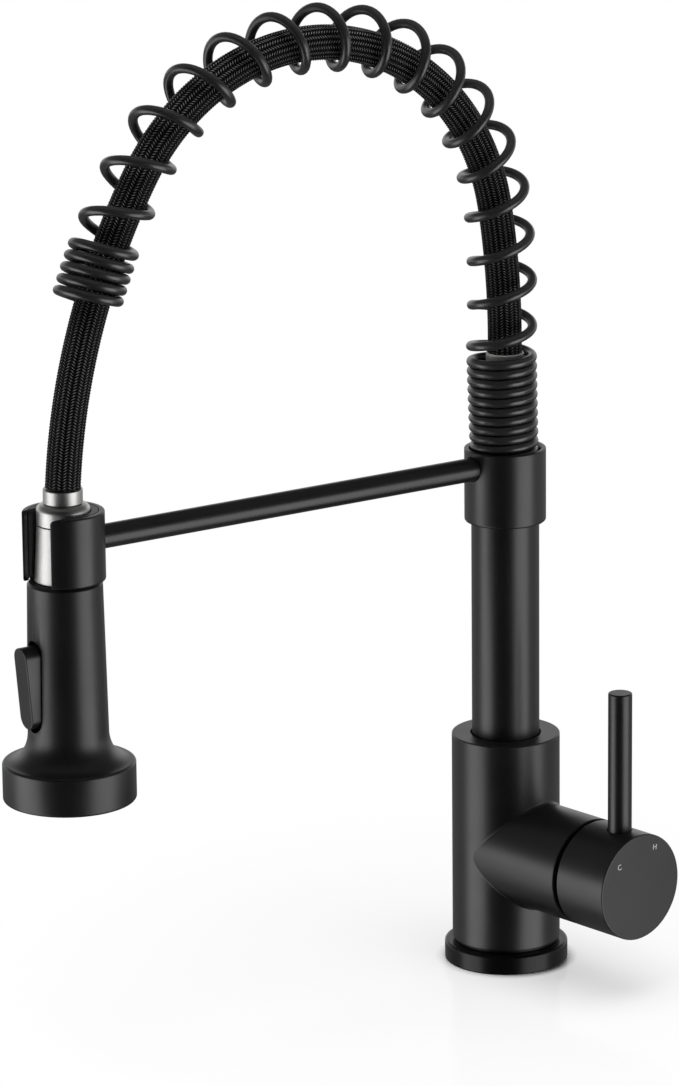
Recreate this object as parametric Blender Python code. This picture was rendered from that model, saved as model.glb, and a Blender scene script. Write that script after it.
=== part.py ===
"""Pull-down kitchen faucet with a spring arch, built from its separate pieces.

Units are metres and +Z is up.  The origin is the centre of the base's underside, on the deck.
The spout reaches towards -Y, and the handle's axis lies HANDLE_TURN round from +X.
"""

import math

import bmesh
import bpy
import numpy as np

# Fits
GAP = 0.0003  # between pieces that touch
RUNNING_GAP = 0.0004  # round pieces that turn or slide in each other
EDGE = 0.0004  # small bevel on a turned edge

# Sides of the round pieces
SHOWN = 32
INNER = 16
SMALL = 12

# Base
FOOT_STEP = 0.00245  # the body's spigot is this much smaller than the body
BASE_FLANGE = 0.00325  # the base ring stands out from the body by this
BASE_HEIGHT = 0.0078
BASE_BEVEL = 0.0009
GASKET_WIDTH = 0.0028
GASKET_INSET = 0.0012
GASKET_THICKNESS = 0.0014
FOOT_GROOVE_HEIGHT = 0.0012
FOOT_GROOVE_DEPTH = 0.0011

# Valve body
BODY_RADIUS = 0.02245
SOCKET_WEB = 0.0069  # metal between the cartridge pocket and the riser's socket
SOCKET_DEPTH = 0.0243
PORT_RADIUS = 0.0046
PORT_DEPTH = 0.0140
PORT_OFFSET = 0.0095
CHANNEL_RADIUS = 0.0026
STUD_RADIUS = 0.0039
STUD_DEPTH = 0.0120
STUD_OFFSET = 0.0128
MIX_PORT_RADIUS = 0.0038

# Handle boss and cartridge pocket, along the handle's axis
HANDLE_TURN = math.radians(8.0)
HANDLE_HEIGHT = 0.0488
BOSS_REACH = 0.0507
BOSS_WALL = 0.0042
POCKET_DEPTH = 0.0380  # the cartridge and its nut fill the pocket

# Cartridge
CARTRIDGE_RADIUS = 0.0176
SEAL_THICKNESS = 0.0012
CARTRIDGE_BASE = 0.0047
DISC_THICKNESS = 0.0030
HOUSING_WALL = 0.0027
HOUSING_LIP = 0.0016
NUT_THICKNESS = 0.0028
PIVOT_DEPTH = 0.0127  # the stem's pivot lies this far behind the boss's face
BALL_ARM = 0.0080
BALL_RADIUS = 0.0026
FLOW_TILT = math.radians(15.0)
STEM_WIDTH = 0.0076
STEM_REACH = 0.0325
PIN_RADIUS = 0.0014
DOME_SEAT = 0.0016
DOME_WALL = 0.0012
DOME_MOUTH = 0.0125

# Handle
HUB_GAP = 0.0015
HUB_LENGTH = 0.0263
HUB_LIP = 0.0006
HUB_WALL = 0.0032
HUB_CONE = 0.0043
ROD_RADIUS = 0.0049
ROD_REACH = 0.0802  # from the handle's axis to the rod's end
ROD_INSET = 0.0117  # from the hub's face to the rod's axis
ROD_SEAT = 0.0025
ROD_SPIGOT_RADIUS = 0.0034
ROD_SPIGOT_LENGTH = 0.0080
GRUB_RADIUS = 0.0024
GRUB_LENGTH = 0.0080

# Riser
RISER_RADIUS = 0.0140
RISER_WALL = 0.0014
RISER_SHOWN = 0.0910  # from the body's top to the collar
FOOT_LENGTH = 0.0098
O_RING_RADIUS = 0.0009
BUSHING_WALL = 0.00265
BUSHING_HEIGHT = 0.0068
BUSHING_SINK = 0.0012  # the body's lip covers the bushing
BUSHING_SPLIT = 0.0012
SET_SCREW_RADIUS = 0.0020
DOG_RADIUS = 0.0007

# Collar and arm
COLLAR_WALL = 0.0025
COLLAR_HEIGHT = 0.0308
COLLAR_FILLET = 0.0028
COLLAR_CHAMFER = 0.0010
RISER_IN_COLLAR = 0.0160
ARM_HEIGHT = 0.0238  # of the arm's axis over the collar's underside
ARM_RADIUS = 0.00485
ARM_SPIGOT_RADIUS = 0.0034
SEAT_FLANGE = 0.0035
SEAT_SPIGOT = 0.0090
WATERWAY_RADIUS = 0.0042

# Docking ring, liner and the steel sleeve that it holds
REACH = 0.2120  # from the riser's axis to the head's axis
DOCK_DROP = 0.0145  # the ring's underside lies this far under the arm's axis
DOCK_HEIGHT = 0.0278
DOCK_WALL = 0.0022
DOCK_BEVEL = 0.0009
LINER_WALL = 0.00145
SLEEVE_FOOT_RADIUS = 0.0118
SLEEVE_TOP_RADIUS = 0.0106
SLEEVE_HEIGHT = 0.0225
SLEEVE_SPIGOT_RADIUS = 0.0090
SLEEVE_SPIGOT = 0.0110
SLOT_SPARE = 0.0016  # the slot is wider than the hose by this

# End of the hose
NUT_SKIRT = 0.0053
NUT_DOME = 0.0026
FERRULE_RADIUS = 0.0078
FERRULE_HEIGHT = 0.0056
FERRULE_STEM_RADIUS = 0.0052
WASHER_THICKNESS = 0.0016

# Spray head
BARREL_LENGTH = 0.0612
BARREL_TOP_STEP = 0.0013  # the barrel's top is this much smaller than the docking ring
BARREL_TAPER = 0.00115
FLARE_HEIGHT = 0.0120
RIM_RADIUS = 0.0264
RIM_HEIGHT = 0.0158
RIM_FILLET = 0.0012
RIM_WALL = 0.0023
FACE_RECESS = 0.0016
FACE_THICKNESS = 0.0030
MAT_THICKNESS = 0.0020
NOZZLE_RADIUS = 0.0013
NOZZLE_WALL = 0.0004
NOZZLE_RINGS = ((0.0130, 7, 0.0), (0.0190, 11, 0.1))  # ring radius, nozzles and phase
AERATOR_RADIUS = 0.0072
AERATOR_DEPTH = 0.0080
AERATOR_HOLE = 0.0010

# Trigger and the valve that it pushes
TRIGGER_WIDTH = 0.0086
TRIGGER_HEIGHT = 0.0335
TRIGGER_TOP_REACH = 0.0222
TRIGGER_FOOT_REACH = 0.0158
TRIGGER_DROP = 0.0247  # from the head's top to the trigger's top
TRIGGER_PRESS = math.radians(12.0)
TRIGGER_PIVOT_RISE = 0.0110  # of the pivot over the trigger's foot
TRIGGER_PIVOT_REACH = 0.0115
TRIGGER_BACK_TOP = 0.0135
TRIGGER_BACK_PIVOT = 0.0092
TRIGGER_BACK_FOOT = 0.0112
RECESS_SIDE_GAP = 0.0004
RECESS_END_GAP = 0.0019
RECESS_FLOOR = 0.0076
TRIGGER_PIN_RADIUS = 0.0013
TRIGGER_PIN_BITE = 0.0022
SPOOL_RISE = 0.0150  # of the spool over the trigger's pivot
SPOOL_RADIUS = 0.0020
SPOOL_LENGTH = 0.0132

# Hose and its arch
HOSE_RADIUS = 0.0072
TOP_FERRULE_RISE = 0.0417  # of the top ferrule's end over the collar's top
TOP_FERRULE_LENGTH = 0.0210
ARCH_DROP = 0.0321  # from the arch's right foot to its left foot
LEG_RADIUS = 0.3300  # the arch leaves the riser upright in this radius
LEG_TURN = math.radians(9.8)
CROWN_TURN = math.radians(148.0)  # the crown ends and the left leg starts
UPRIGHT_TURN = math.radians(176.4)  # the left leg ends
UPRIGHT_RADIUS = 0.0250  # and the arch turns upright over the spray head in this one
ARCH_SINK = 0.0026  # the arch's left foot lies this far under the lower ferrule's top
HOSE_STEP = 0.0290  # between the hose's points
HOSE_END_RUN = 0.0040
HOSE_SIDE_GAP = 0.0005  # the hose lies this near to the inner side of the coils

# Spring
WIRE_RADIUS = 0.00175
SPRING_PROUD = 0.00015  # the coil stands out from the riser's surface by this
COIL_GAP = 0.00062  # between close turns
BASE_TURNS = 11.12
OPEN_TURNS = 16.4
END_TURNS = 4.8
PITCH_DRIFT = -0.048  # the first open turn differs by this share, and the last by its opposite
FREE_END_RISE = 0.0727  # of the spring's free end over the lower ferrule's top
POINTS_PER_TURN = 8
STOP_WIDTH = 0.0030
STOP_THICKNESS = 0.0016

# Places that follow from the sizes
POCKET_RADIUS = CARTRIDGE_RADIUS + RUNNING_GAP
BOSS_RADIUS = POCKET_RADIUS + BOSS_WALL
SOCKET_FLOOR = HANDLE_HEIGHT + POCKET_RADIUS + SOCKET_WEB
BODY_TOP = SOCKET_FLOOR + SOCKET_DEPTH
FOOT_RADIUS = BODY_RADIUS - FOOT_STEP
BASE_RADIUS = BODY_RADIUS + BASE_FLANGE
POCKET_FLOOR = BOSS_REACH - POCKET_DEPTH
PIVOT = BOSS_REACH - PIVOT_DEPTH
BALL = PIVOT - BALL_ARM
FLOW_TRAVEL = BALL_ARM * math.sin(FLOW_TILT)
HOUSING_BORE = CARTRIDGE_RADIUS - HOUSING_WALL
DOME_BASE = BOSS_REACH + GAP
DOME_RADIUS = math.hypot(POCKET_RADIUS + DOME_SEAT, DOME_BASE - PIVOT)
HUB_RADIUS = BOSS_RADIUS
HUB_REAR = BOSS_REACH + HUB_GAP
HUB_FACE = HUB_REAR + HUB_LENGTH
ROD_PLACE = HUB_FACE - ROD_INSET

COLLAR_BOTTOM = BODY_TOP + RISER_SHOWN
COLLAR_TOP = COLLAR_BOTTOM + COLLAR_HEIGHT
COLLAR_RADIUS = RISER_RADIUS + GAP + COLLAR_WALL
RISER_TOP = COLLAR_BOTTOM + RISER_IN_COLLAR
SEAT_TOP = RISER_TOP + GAP + SEAT_FLANGE
ARM_Z = COLLAR_BOTTOM + ARM_HEIGHT
SPRING_RADIUS = RISER_RADIUS + SPRING_PROUD - WIRE_RADIUS
END_RUN = 2 * WIRE_RADIUS
COLLAR_BORE = math.hypot(SPRING_RADIUS, END_RUN) + WIRE_RADIUS + RUNNING_GAP

DOCK_Z = ARM_Z - DOCK_DROP
LINER_BORE = SLEEVE_FOOT_RADIUS + RUNNING_GAP
DOCK_BORE = LINER_BORE + LINER_WALL + GAP
DOCK_RADIUS = DOCK_BORE + DOCK_WALL
SLOT_HALF = HOSE_RADIUS + SLOT_SPARE / 2

# Heights on the head's axis, over the docking ring's underside
HEAD_TOP = -GAP
SLEEVE_TOP = SLEEVE_HEIGHT
NUT_BOTTOM = SLEEVE_TOP + GAP
NUT_TOP = NUT_BOTTOM + NUT_SKIRT + NUT_DOME
FERRULE_TOP = NUT_TOP + GAP + FERRULE_HEIGHT
BARREL_BOTTOM = HEAD_TOP - BARREL_LENGTH
RIM_TOP = BARREL_BOTTOM - FLARE_HEIGHT
RIM_BOTTOM = RIM_TOP - RIM_HEIGHT
BARREL_RADIUS = DOCK_RADIUS - BARREL_TOP_STEP
FACE_BOTTOM = RIM_BOTTOM + FACE_RECESS
FACE_TOP = FACE_BOTTOM + FACE_THICKNESS
MAT_TOP = FACE_TOP + GAP + MAT_THICKNESS
TRIGGER_TOP = HEAD_TOP - TRIGGER_DROP
TRIGGER_FOOT = TRIGGER_TOP - TRIGGER_HEIGHT
TRIGGER_PIVOT = TRIGGER_FOOT + TRIGGER_PIVOT_RISE

TOP_FERRULE_END = COLLAR_TOP + TOP_FERRULE_RISE
ARCH_LEFT_Z = DOCK_Z + FERRULE_TOP - ARCH_SINK
ARCH_RIGHT_Z = ARCH_LEFT_Z + ARCH_DROP

# The arch is a chain of four arcs.  Each arc's step across and up is its radius times a pair
# of numbers, so the reach and the drop give the crown's radius and the left leg's.
ARC_TURNS = (0.0, LEG_TURN, CROWN_TURN, UPRIGHT_TURN, math.pi)
ARC_STEPS = [
    (math.cos(a) - math.cos(b), math.sin(b) - math.sin(a)) for a, b in zip(ARC_TURNS, ARC_TURNS[1:])
]
ARCH_ACROSS = REACH - LEG_RADIUS * ARC_STEPS[0][0] - UPRIGHT_RADIUS * ARC_STEPS[3][0]
ARCH_RISE = -ARCH_DROP - LEG_RADIUS * ARC_STEPS[0][1] - UPRIGHT_RADIUS * ARC_STEPS[3][1]
CROWN_RADIUS, LEFT_RADIUS = np.linalg.solve(
    np.array(ARC_STEPS[1:3]).T, np.array((ARCH_ACROSS, ARCH_RISE))
)
CHORD_SAG = HOSE_STEP**2 / (8 * CROWN_RADIUS)
COIL_INSIDE = SPRING_RADIUS * math.cos(math.pi / POINTS_PER_TURN) - WIRE_RADIUS
HOSE_LAG = max(0.0, COIL_INSIDE - HOSE_RADIUS - CHORD_SAG - HOSE_SIDE_GAP)


# ---------------------------------------------------------------- scene and helpers


def clear_scene():
    for obj in list(bpy.data.objects):
        bpy.data.objects.remove(obj, do_unlink=True)


def material(name, colour, roughness, metallic):
    made = bpy.data.materials.new(name)
    made.use_nodes = True
    shader = made.node_tree.nodes["Principled BSDF"]
    shader.inputs["Base Color"].default_value = (*colour, 1.0)
    shader.inputs["Roughness"].default_value = roughness
    shader.inputs["Metallic"].default_value = metallic
    made.diffuse_color = (*colour, 1.0)
    return made


def axis_empty(name, location=(0, 0, 0), rotation=(0, 0, 0), parent=None):
    """An empty on a joint's axis, which carries the pieces that turn about it."""
    empty = bpy.data.objects.new(name, None)
    bpy.context.scene.collection.objects.link(empty)
    empty.parent = parent
    empty.location = location
    empty.rotation_euler = rotation
    return empty


def add_object(name, shape, carrier, finish=None, location=(0, 0, 0), rotation=(0, 0, 0)):
    """Turns a bmesh into an object under its carrier.  A piece with no finish is a cutter."""
    bmesh.ops.remove_doubles(shape, verts=shape.verts, dist=1e-7)
    bmesh.ops.recalc_face_normals(shape, faces=shape.faces)
    mesh = bpy.data.meshes.new(name)
    shape.to_mesh(mesh)
    shape.free()
    mesh.shade_smooth()
    mesh.set_sharp_from_angle(angle=math.radians(30))
    obj = bpy.data.objects.new(name, mesh)
    bpy.context.scene.collection.objects.link(obj)
    obj.parent = carrier
    obj.location = location
    obj.rotation_euler = rotation
    if finish:
        mesh.materials.append(finish)
    else:
        obj.hide_render = True
        obj.display_type = "WIRE"
    return obj


def combine(target, tool, operation="DIFFERENCE"):
    step = target.modifiers.new(tool.name, "BOOLEAN")
    step.operation = operation
    step.solver = "EXACT"
    step.object = tool


def turned(outline, segments):
    """A closed outline of (radius, height) points, spun about Z."""
    shape = bmesh.new()
    verts = [shape.verts.new((r, 0, z)) for r, z in outline]
    edges = [shape.edges.new((a, b)) for a, b in zip(verts, verts[1:])]
    if min(outline[0][0], outline[-1][0]) > 0:
        edges.append(shape.edges.new((verts[-1], verts[0])))
    bmesh.ops.spin(
        shape, geom=verts + edges, cent=(0, 0, 0), axis=(0, 0, 1),
        angle=2 * math.pi, steps=segments, use_merge=True,
    )
    return shape


def rod_shape(radius, bottom, top, segments, bevel=0.0):
    """A solid bar along Z, with its top edge bevelled where a bevel is given."""
    outline = [(0, bottom), (radius, bottom), (radius, top - bevel)]
    if bevel:
        outline.append((radius - bevel, top))
    return turned(outline + [(0, top)], segments)


def ring_shape(inner, outer, bottom, top, segments, bevel=0.0):
    outline = [(inner, bottom), (outer, bottom), (outer, top - bevel)]
    if bevel:
        outline.append((outer - bevel, top))
    return turned(outline + [(inner, top)], segments)


def arc(centre, radii, start, end, steps):
    """Points of an ellipse's arc in the outline's plane, both ends included."""
    angles = [start + (end - start) * k / steps for k in range(steps + 1)]
    return [
        (centre[0] + radii[0] * math.cos(a), centre[1] + radii[1] * math.sin(a)) for a in angles
    ]


def lofted(loops):
    """A closed solid through loops of points, all of the same count, with flat ends."""
    shape = bmesh.new()
    rings = [[shape.verts.new(p) for p in loop] for loop in loops]
    for low, high in zip(rings, rings[1:]):
        for k in range(len(low)):
            nxt = (k + 1) % len(low)
            shape.faces.new((low[k], low[nxt], high[nxt], high[k]))
    shape.faces.new(rings[0])
    shape.faces.new(rings[-1])
    return shape


def stadium(width, length, depth, arc_steps):
    """An upright bar with round ends, along Z, its depth along Y from 0 to -depth."""
    radius = width / 2
    centre = length / 2 - radius
    top = arc((0, centre), (radius, radius), 0, math.pi, arc_steps)
    foot = arc((0, -centre), (radius, radius), math.pi, 2 * math.pi, arc_steps)
    outline = top + foot
    return lofted([[(x, y, z) for x, z in outline] for y in (0, -depth)])


def pins(places, radii, heights, segments):
    """A group of separate round bars.  Each radius belongs to a height."""
    shape = bmesh.new()
    for x, y in places:
        for k in range(len(heights) - 1):
            made = bmesh.ops.create_cone(
                shape, cap_ends=True, segments=segments, radius1=radii[k], radius2=radii[k + 1],
                depth=heights[k + 1] - heights[k],
            )
            middle = (heights[k] + heights[k + 1]) / 2
            bmesh.ops.translate(shape, verts=made["verts"], vec=(x, y, middle))
    return shape


def on_circle(radius, count, phase=0.0):
    angles = [phase + 2 * math.pi * k / count for k in range(count)]
    return [(radius * math.cos(a), radius * math.sin(a)) for a in angles]


def tube(name, points, radius, resolution, carrier, finish):
    curve = bpy.data.curves.new(name, "CURVE")
    curve.dimensions = "3D"
    curve.bevel_depth = radius
    curve.bevel_resolution = resolution
    curve.use_fill_caps = True
    spline = curve.splines.new("POLY")
    spline.points.add(len(points) - 1)
    for point, place in zip(spline.points, points):
        point.co = (*place, 1.0)
    curve.materials.append(finish)
    obj = bpy.data.objects.new(name, curve)
    bpy.context.scene.collection.objects.link(obj)
    obj.parent = carrier
    return obj


# ---------------------------------------------------------------- base and valve body


def make_base(frame, black, rubber):
    bore = FOOT_RADIUS + GAP
    outer = BASE_RADIUS - GASKET_INSET
    inner = outer - GASKET_WIDTH
    groove = GASKET_THICKNESS + GAP
    ring = turned(
        [
            (bore, 0), (inner - GAP, 0), (inner - GAP, groove), (outer + GAP, groove),
            (outer + GAP, 0), (BASE_RADIUS, 0), (BASE_RADIUS, BASE_HEIGHT - BASE_BEVEL),
            (BASE_RADIUS - BASE_BEVEL, BASE_HEIGHT), (bore, BASE_HEIGHT),
        ],
        SHOWN,
    )
    add_object("base_ring", ring, frame, black)
    gasket = ring_shape(inner, outer, 0, GASKET_THICKNESS, SHOWN)
    add_object("base_gasket", gasket, frame, rubber)


def make_valve_body(frame, handle, black):
    shoulder = BASE_HEIGHT + GAP
    groove_top = shoulder + FOOT_GROOVE_HEIGHT
    groove_radius = BODY_RADIUS - FOOT_GROOVE_DEPTH
    body = turned(
        [
            (0, 0), (FOOT_RADIUS, 0), (FOOT_RADIUS, shoulder), (groove_radius, shoulder),
            (groove_radius, groove_top), (BODY_RADIUS, groove_top), (BODY_RADIUS, BODY_TOP - EDGE),
            (BODY_RADIUS - EDGE, BODY_TOP), (0, BODY_TOP),
        ],
        SHOWN,
    )
    body = add_object("valve_body", body, frame, black)
    boss = add_object("boss_form", rod_shape(BOSS_RADIUS, 0, BOSS_REACH, SHOWN, EDGE), handle)
    combine(body, boss, "UNION")

    past = BOSS_REACH + BOSS_WALL
    pocket = rod_shape(POCKET_RADIUS, POCKET_FLOOR, past, SHOWN)
    combine(body, add_object("pocket_cutter", pocket, handle))

    socket_radius = RISER_RADIUS + RUNNING_GAP
    bushing_seat = BODY_TOP - BUSHING_SINK - BUSHING_HEIGHT - GAP
    bushing_bore = RISER_RADIUS + RUNNING_GAP + BUSHING_WALL + GAP
    lip = bushing_seat + BUSHING_HEIGHT + 2 * GAP
    over = BODY_TOP + BUSHING_HEIGHT
    socket = turned(
        [
            (0, SOCKET_FLOOR), (socket_radius, SOCKET_FLOOR), (socket_radius, bushing_seat),
            (bushing_bore, bushing_seat), (bushing_bore, lip), (socket_radius, lip),
            (socket_radius, over), (0, over),
        ],
        SHOWN,
    )
    combine(body, add_object("socket_cutter", socket, frame))

    # Supply ports and the stud's socket, which open in the underside
    places = [(0, PORT_OFFSET), (0, -PORT_OFFSET)]
    supply = pins(places, (PORT_RADIUS, PORT_RADIUS), (-PORT_DEPTH, PORT_DEPTH), SMALL)
    turn = (0, 0, HANDLE_TURN)
    combine(body, add_object("port_cutter", supply, frame, rotation=turn))
    stud = pins([(-STUD_OFFSET, 0)], (STUD_RADIUS, STUD_RADIUS), (-STUD_DEPTH, STUD_DEPTH), SMALL)
    combine(body, add_object("stud_cutter", stud, frame, rotation=turn))

    # Water channels: up from the ports, across to the pocket's floor, and up to the riser
    bore = (CHANNEL_RADIUS, CHANNEL_RADIUS)
    rise = pins(places, bore, (PORT_DEPTH - CHANNEL_RADIUS, HANDLE_HEIGHT), 8)
    combine(body, add_object("riser_channel_cutter", rise, frame, rotation=turn))
    across = pins(places, bore, (0, POCKET_FLOOR + CHANNEL_RADIUS), 8)
    combine(body, add_object("inlet_channel_cutter", across, handle))
    bore = (MIX_PORT_RADIUS, MIX_PORT_RADIUS)
    heights = (HANDLE_HEIGHT + PORT_OFFSET, SOCKET_FLOOR + MIX_PORT_RADIUS)
    combine(body, add_object("mixed_channel_cutter", pins([(0, 0)], bore, heights, 8), frame))
    bore = (CHANNEL_RADIUS, CHANNEL_RADIUS)
    out = pins([(-PORT_OFFSET, 0)], bore, (0, POCKET_FLOOR + CHANNEL_RADIUS), 8)
    combine(body, add_object("outlet_channel_cutter", out, handle))

    # Screw hole in the back, level with the groove in the riser's foot
    hole = rod_shape(SET_SCREW_RADIUS + GAP, 0, BODY_RADIUS * 1.2, SMALL)
    place = (0, 0, foot_groove_height())
    combine(body, add_object("screw_cutter", hole, frame, None, place, (-math.pi / 2, 0, 0)))


def foot_groove_height():
    return SOCKET_FLOOR + GAP + FOOT_LENGTH / 2


def make_body_fittings(frame, plastic, steel):
    bottom = BODY_TOP - BUSHING_SINK - BUSHING_HEIGHT
    inner = RISER_RADIUS + RUNNING_GAP
    top = bottom + BUSHING_HEIGHT
    bushing = ring_shape(inner, inner + BUSHING_WALL, bottom, top, SHOWN)
    bushing = add_object("swivel_bushing", bushing, frame, plastic)

    # The ring is split, so that it springs into its groove under the body's lip
    half = BUSHING_SPLIT / 2
    across = [(-half, inner / 2), (half, inner / 2), (half, BODY_RADIUS), (-half, BODY_RADIUS)]
    split = lofted([[(x, y, z) for x, y in across] for z in (bottom - GAP, top + GAP)])
    combine(bushing, add_object("split_cutter", split, frame))

    # The retaining screw's dog point stands in the groove of the riser's foot
    start = RISER_RADIUS - O_RING_RADIUS
    shoulder = RISER_RADIUS + RUNNING_GAP + GAP
    end = BODY_RADIUS - FOOT_GROOVE_DEPTH
    outline = [
        (0, start), (DOG_RADIUS, start), (DOG_RADIUS, shoulder), (SET_SCREW_RADIUS, shoulder),
        (SET_SCREW_RADIUS, end), (0, end),
    ]
    screw = add_object(
        "spout_retaining_screw", turned(outline, SMALL), frame, steel,
        (0, 0, foot_groove_height()), (-math.pi / 2, 0, 0),
    )
    combine(screw, hex_socket("retaining_screw_socket", frame, screw))


def hex_socket(name, frame, screw):
    """A cutter for the hexagon socket in the outer end of a radial screw in the back."""
    reach = max(v.co.z for v in screw.data.vertices)
    radius = SET_SCREW_RADIUS * 0.55
    shape = rod_shape(radius, reach - SET_SCREW_RADIUS, reach + SET_SCREW_RADIUS, 6)
    return add_object(name, shape, frame, None, tuple(screw.location), tuple(screw.rotation_euler))


# ---------------------------------------------------------------- cartridge


def cartridge_ports():
    """Places of the hot, cold and mixed ports, in the plane square to the handle's axis."""
    return [(0, PORT_OFFSET), (0, -PORT_OFFSET), (-PORT_OFFSET, 0)]


def make_cartridge(handle, plastic, ceramic, brass, rubber, black):
    seal_bottom = POCKET_FLOOR + GAP
    base_bottom = seal_bottom + SEAL_THICKNESS + GAP
    base_top = base_bottom + CARTRIDGE_BASE
    fixed_bottom = base_top + GAP
    fixed_top = fixed_bottom + DISC_THICKNESS

    seal_inner = PORT_OFFSET + 1.6 * CHANNEL_RADIUS
    seal_outer = CARTRIDGE_RADIUS - SEAL_THICKNESS
    seal = ring_shape(seal_inner, seal_outer, seal_bottom, seal_bottom + SEAL_THICKNESS, INNER)
    add_object("cartridge_seal", seal, handle, rubber)

    heights = (base_bottom - 2 * GAP, fixed_top + 2 * GAP)
    holes = pins(cartridge_ports(), (CHANNEL_RADIUS, CHANNEL_RADIUS), heights, 8)
    holes = add_object("cartridge_port_cutter", holes, handle)
    base = rod_shape(CARTRIDGE_RADIUS, base_bottom, base_top, INNER)
    base = add_object("cartridge_base", base, handle, plastic)
    combine(base, holes)
    disc = rod_shape(HOUSING_BORE - GAP, fixed_bottom, fixed_top, INNER)
    disc = add_object("fixed_disc", disc, handle, ceramic)
    combine(disc, holes)

    nut_top = BOSS_REACH - GAP
    nut_bottom = nut_top - NUT_THICKNESS
    housing_top = nut_bottom - GAP
    lip_bottom = housing_top - 0.9 * NUT_THICKNESS
    lip = HOUSING_BORE - HOUSING_LIP
    housing = turned(
        [
            (HOUSING_BORE, fixed_bottom), (CARTRIDGE_RADIUS, fixed_bottom),
            (CARTRIDGE_RADIUS, housing_top), (lip, housing_top), (lip, lip_bottom),
            (HOUSING_BORE, lip_bottom),
        ],
        INNER,
    )
    add_object("cartridge_housing", housing, handle, plastic)
    nut = ring_shape(lip, CARTRIDGE_RADIUS, nut_bottom, nut_top, INNER)
    add_object("cartridge_nut", nut, handle, brass)
    add_object("dome_cover", dome_shape(), handle, black)
    return fixed_top, lip_bottom, lip


def dome_shape():
    """A ball-shaped ring about the stem's pivot, so that the hub clears it as it tips."""
    base = DOME_BASE - PIVOT
    inner = DOME_RADIUS - DOME_WALL
    low_out = math.asin(base / DOME_RADIUS)
    low_in = math.asin(base / inner)
    high_out = math.acos(DOME_MOUTH / DOME_RADIUS)
    high_in = math.acos(DOME_MOUTH / inner)
    centre = (0, PIVOT)
    outer_arc = arc(centre, (DOME_RADIUS, DOME_RADIUS), low_out, high_out, 4)
    inner_arc = arc(centre, (inner, inner), high_in, low_in, 3)
    return turned(outer_arc + inner_arc, 32)


def make_rotor(handle, disc_top, lip_bottom, lip, plastic, steel):
    """The piece that turns with the handle and carries the stem's pin."""
    radius = HOUSING_BORE - RUNNING_GAP
    neck = lip - RUNNING_GAP
    bottom = BALL + BALL_RADIUS * 0.2
    shoulder = lip_bottom - GAP
    top = shoulder + NUT_THICKNESS
    cavity_top = BALL + BALL_RADIUS + GAP * 2
    cavity = socket_radius() + FLOW_TRAVEL + 2 * GAP
    rotor = turned(
        [
            (cavity, bottom), (radius, bottom), (radius, shoulder), (neck, shoulder),
            (neck, top), (0, top), (0, cavity_top), (cavity, cavity_top),
        ],
        INNER,
    )
    rotor = add_object("cartridge_rotor", rotor, handle, plastic)

    # Two keys that reach down past the moving disc and turn it with the rotor
    key_inner = moving_disc_radius() + RUNNING_GAP
    key_bottom = disc_top + 2 * GAP
    key_half = radius * 0.3
    for side in (1, -1):
        x_sides = (-key_half, key_half)
        y_sides = (side * key_inner, side * math.sqrt(radius**2 - key_half**2) * 0.985)
        corners = [(x_sides[0], y_sides[0]), (x_sides[1], y_sides[0]),
                   (x_sides[1], y_sides[1]), (x_sides[0], y_sides[1])]
        heights = (key_bottom, bottom + BALL_RADIUS)
        key = lofted([[(x, y, z) for x, y in corners] for z in heights])
        combine(rotor, add_object(f"rotor_key_form_{side}", key, handle), "UNION")

    # The slot in which the stem tips, and the hole of its pin
    slot_half = STEM_WIDTH / 2 / math.cos(FLOW_TILT) + (top - PIVOT) * math.tan(FLOW_TILT)
    slot_half += RUNNING_GAP * 2
    side_half = STEM_WIDTH / 2 + RUNNING_GAP
    corners = [(-slot_half, -side_half), (slot_half, -side_half),
               (slot_half, side_half), (-slot_half, side_half)]
    heights = (cavity_top - BALL_RADIUS, top + BALL_RADIUS)
    slot = lofted([[(x, y, z) for x, y in corners] for z in heights])
    combine(rotor, add_object("rotor_slot_cutter", slot, handle))
    hole = rod_shape(PIN_RADIUS + GAP, -radius * 1.2, radius * 1.2, SMALL)
    across = (math.pi / 2, 0, 0)
    combine(rotor, add_object("rotor_pin_cutter", hole, handle, None, (0, 0, PIVOT), across))

    length = radius - GAP
    pin = rod_shape(PIN_RADIUS, -length * 0.985, length * 0.985, SMALL)
    add_object("lever_pin", pin, handle, steel, (0, 0, PIVOT), across)


def socket_radius():
    """Outer radius of the drive socket on the moving disc."""
    return BALL_RADIUS + RUNNING_GAP + BALL_RADIUS


def moving_disc_radius():
    return HOUSING_BORE - FLOW_TRAVEL - 3 * RUNNING_GAP


def make_moving_disc(handle, disc_bottom, ceramic):
    bottom = disc_bottom + GAP
    top = bottom + DISC_THICKNESS
    bore = BALL_RADIUS + RUNNING_GAP
    socket_top = BALL + BALL_RADIUS * 0.7
    floor = BALL - BALL_RADIUS - RUNNING_GAP
    outline = [
        (0, bottom), (moving_disc_radius(), bottom), (moving_disc_radius(), top),
        (socket_radius(), top), (socket_radius(), socket_top), (bore, socket_top),
        (bore, floor), (0, floor),
    ]
    add_object("moving_disc", turned(outline, INNER), handle, ceramic)


# ---------------------------------------------------------------- handle


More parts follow.
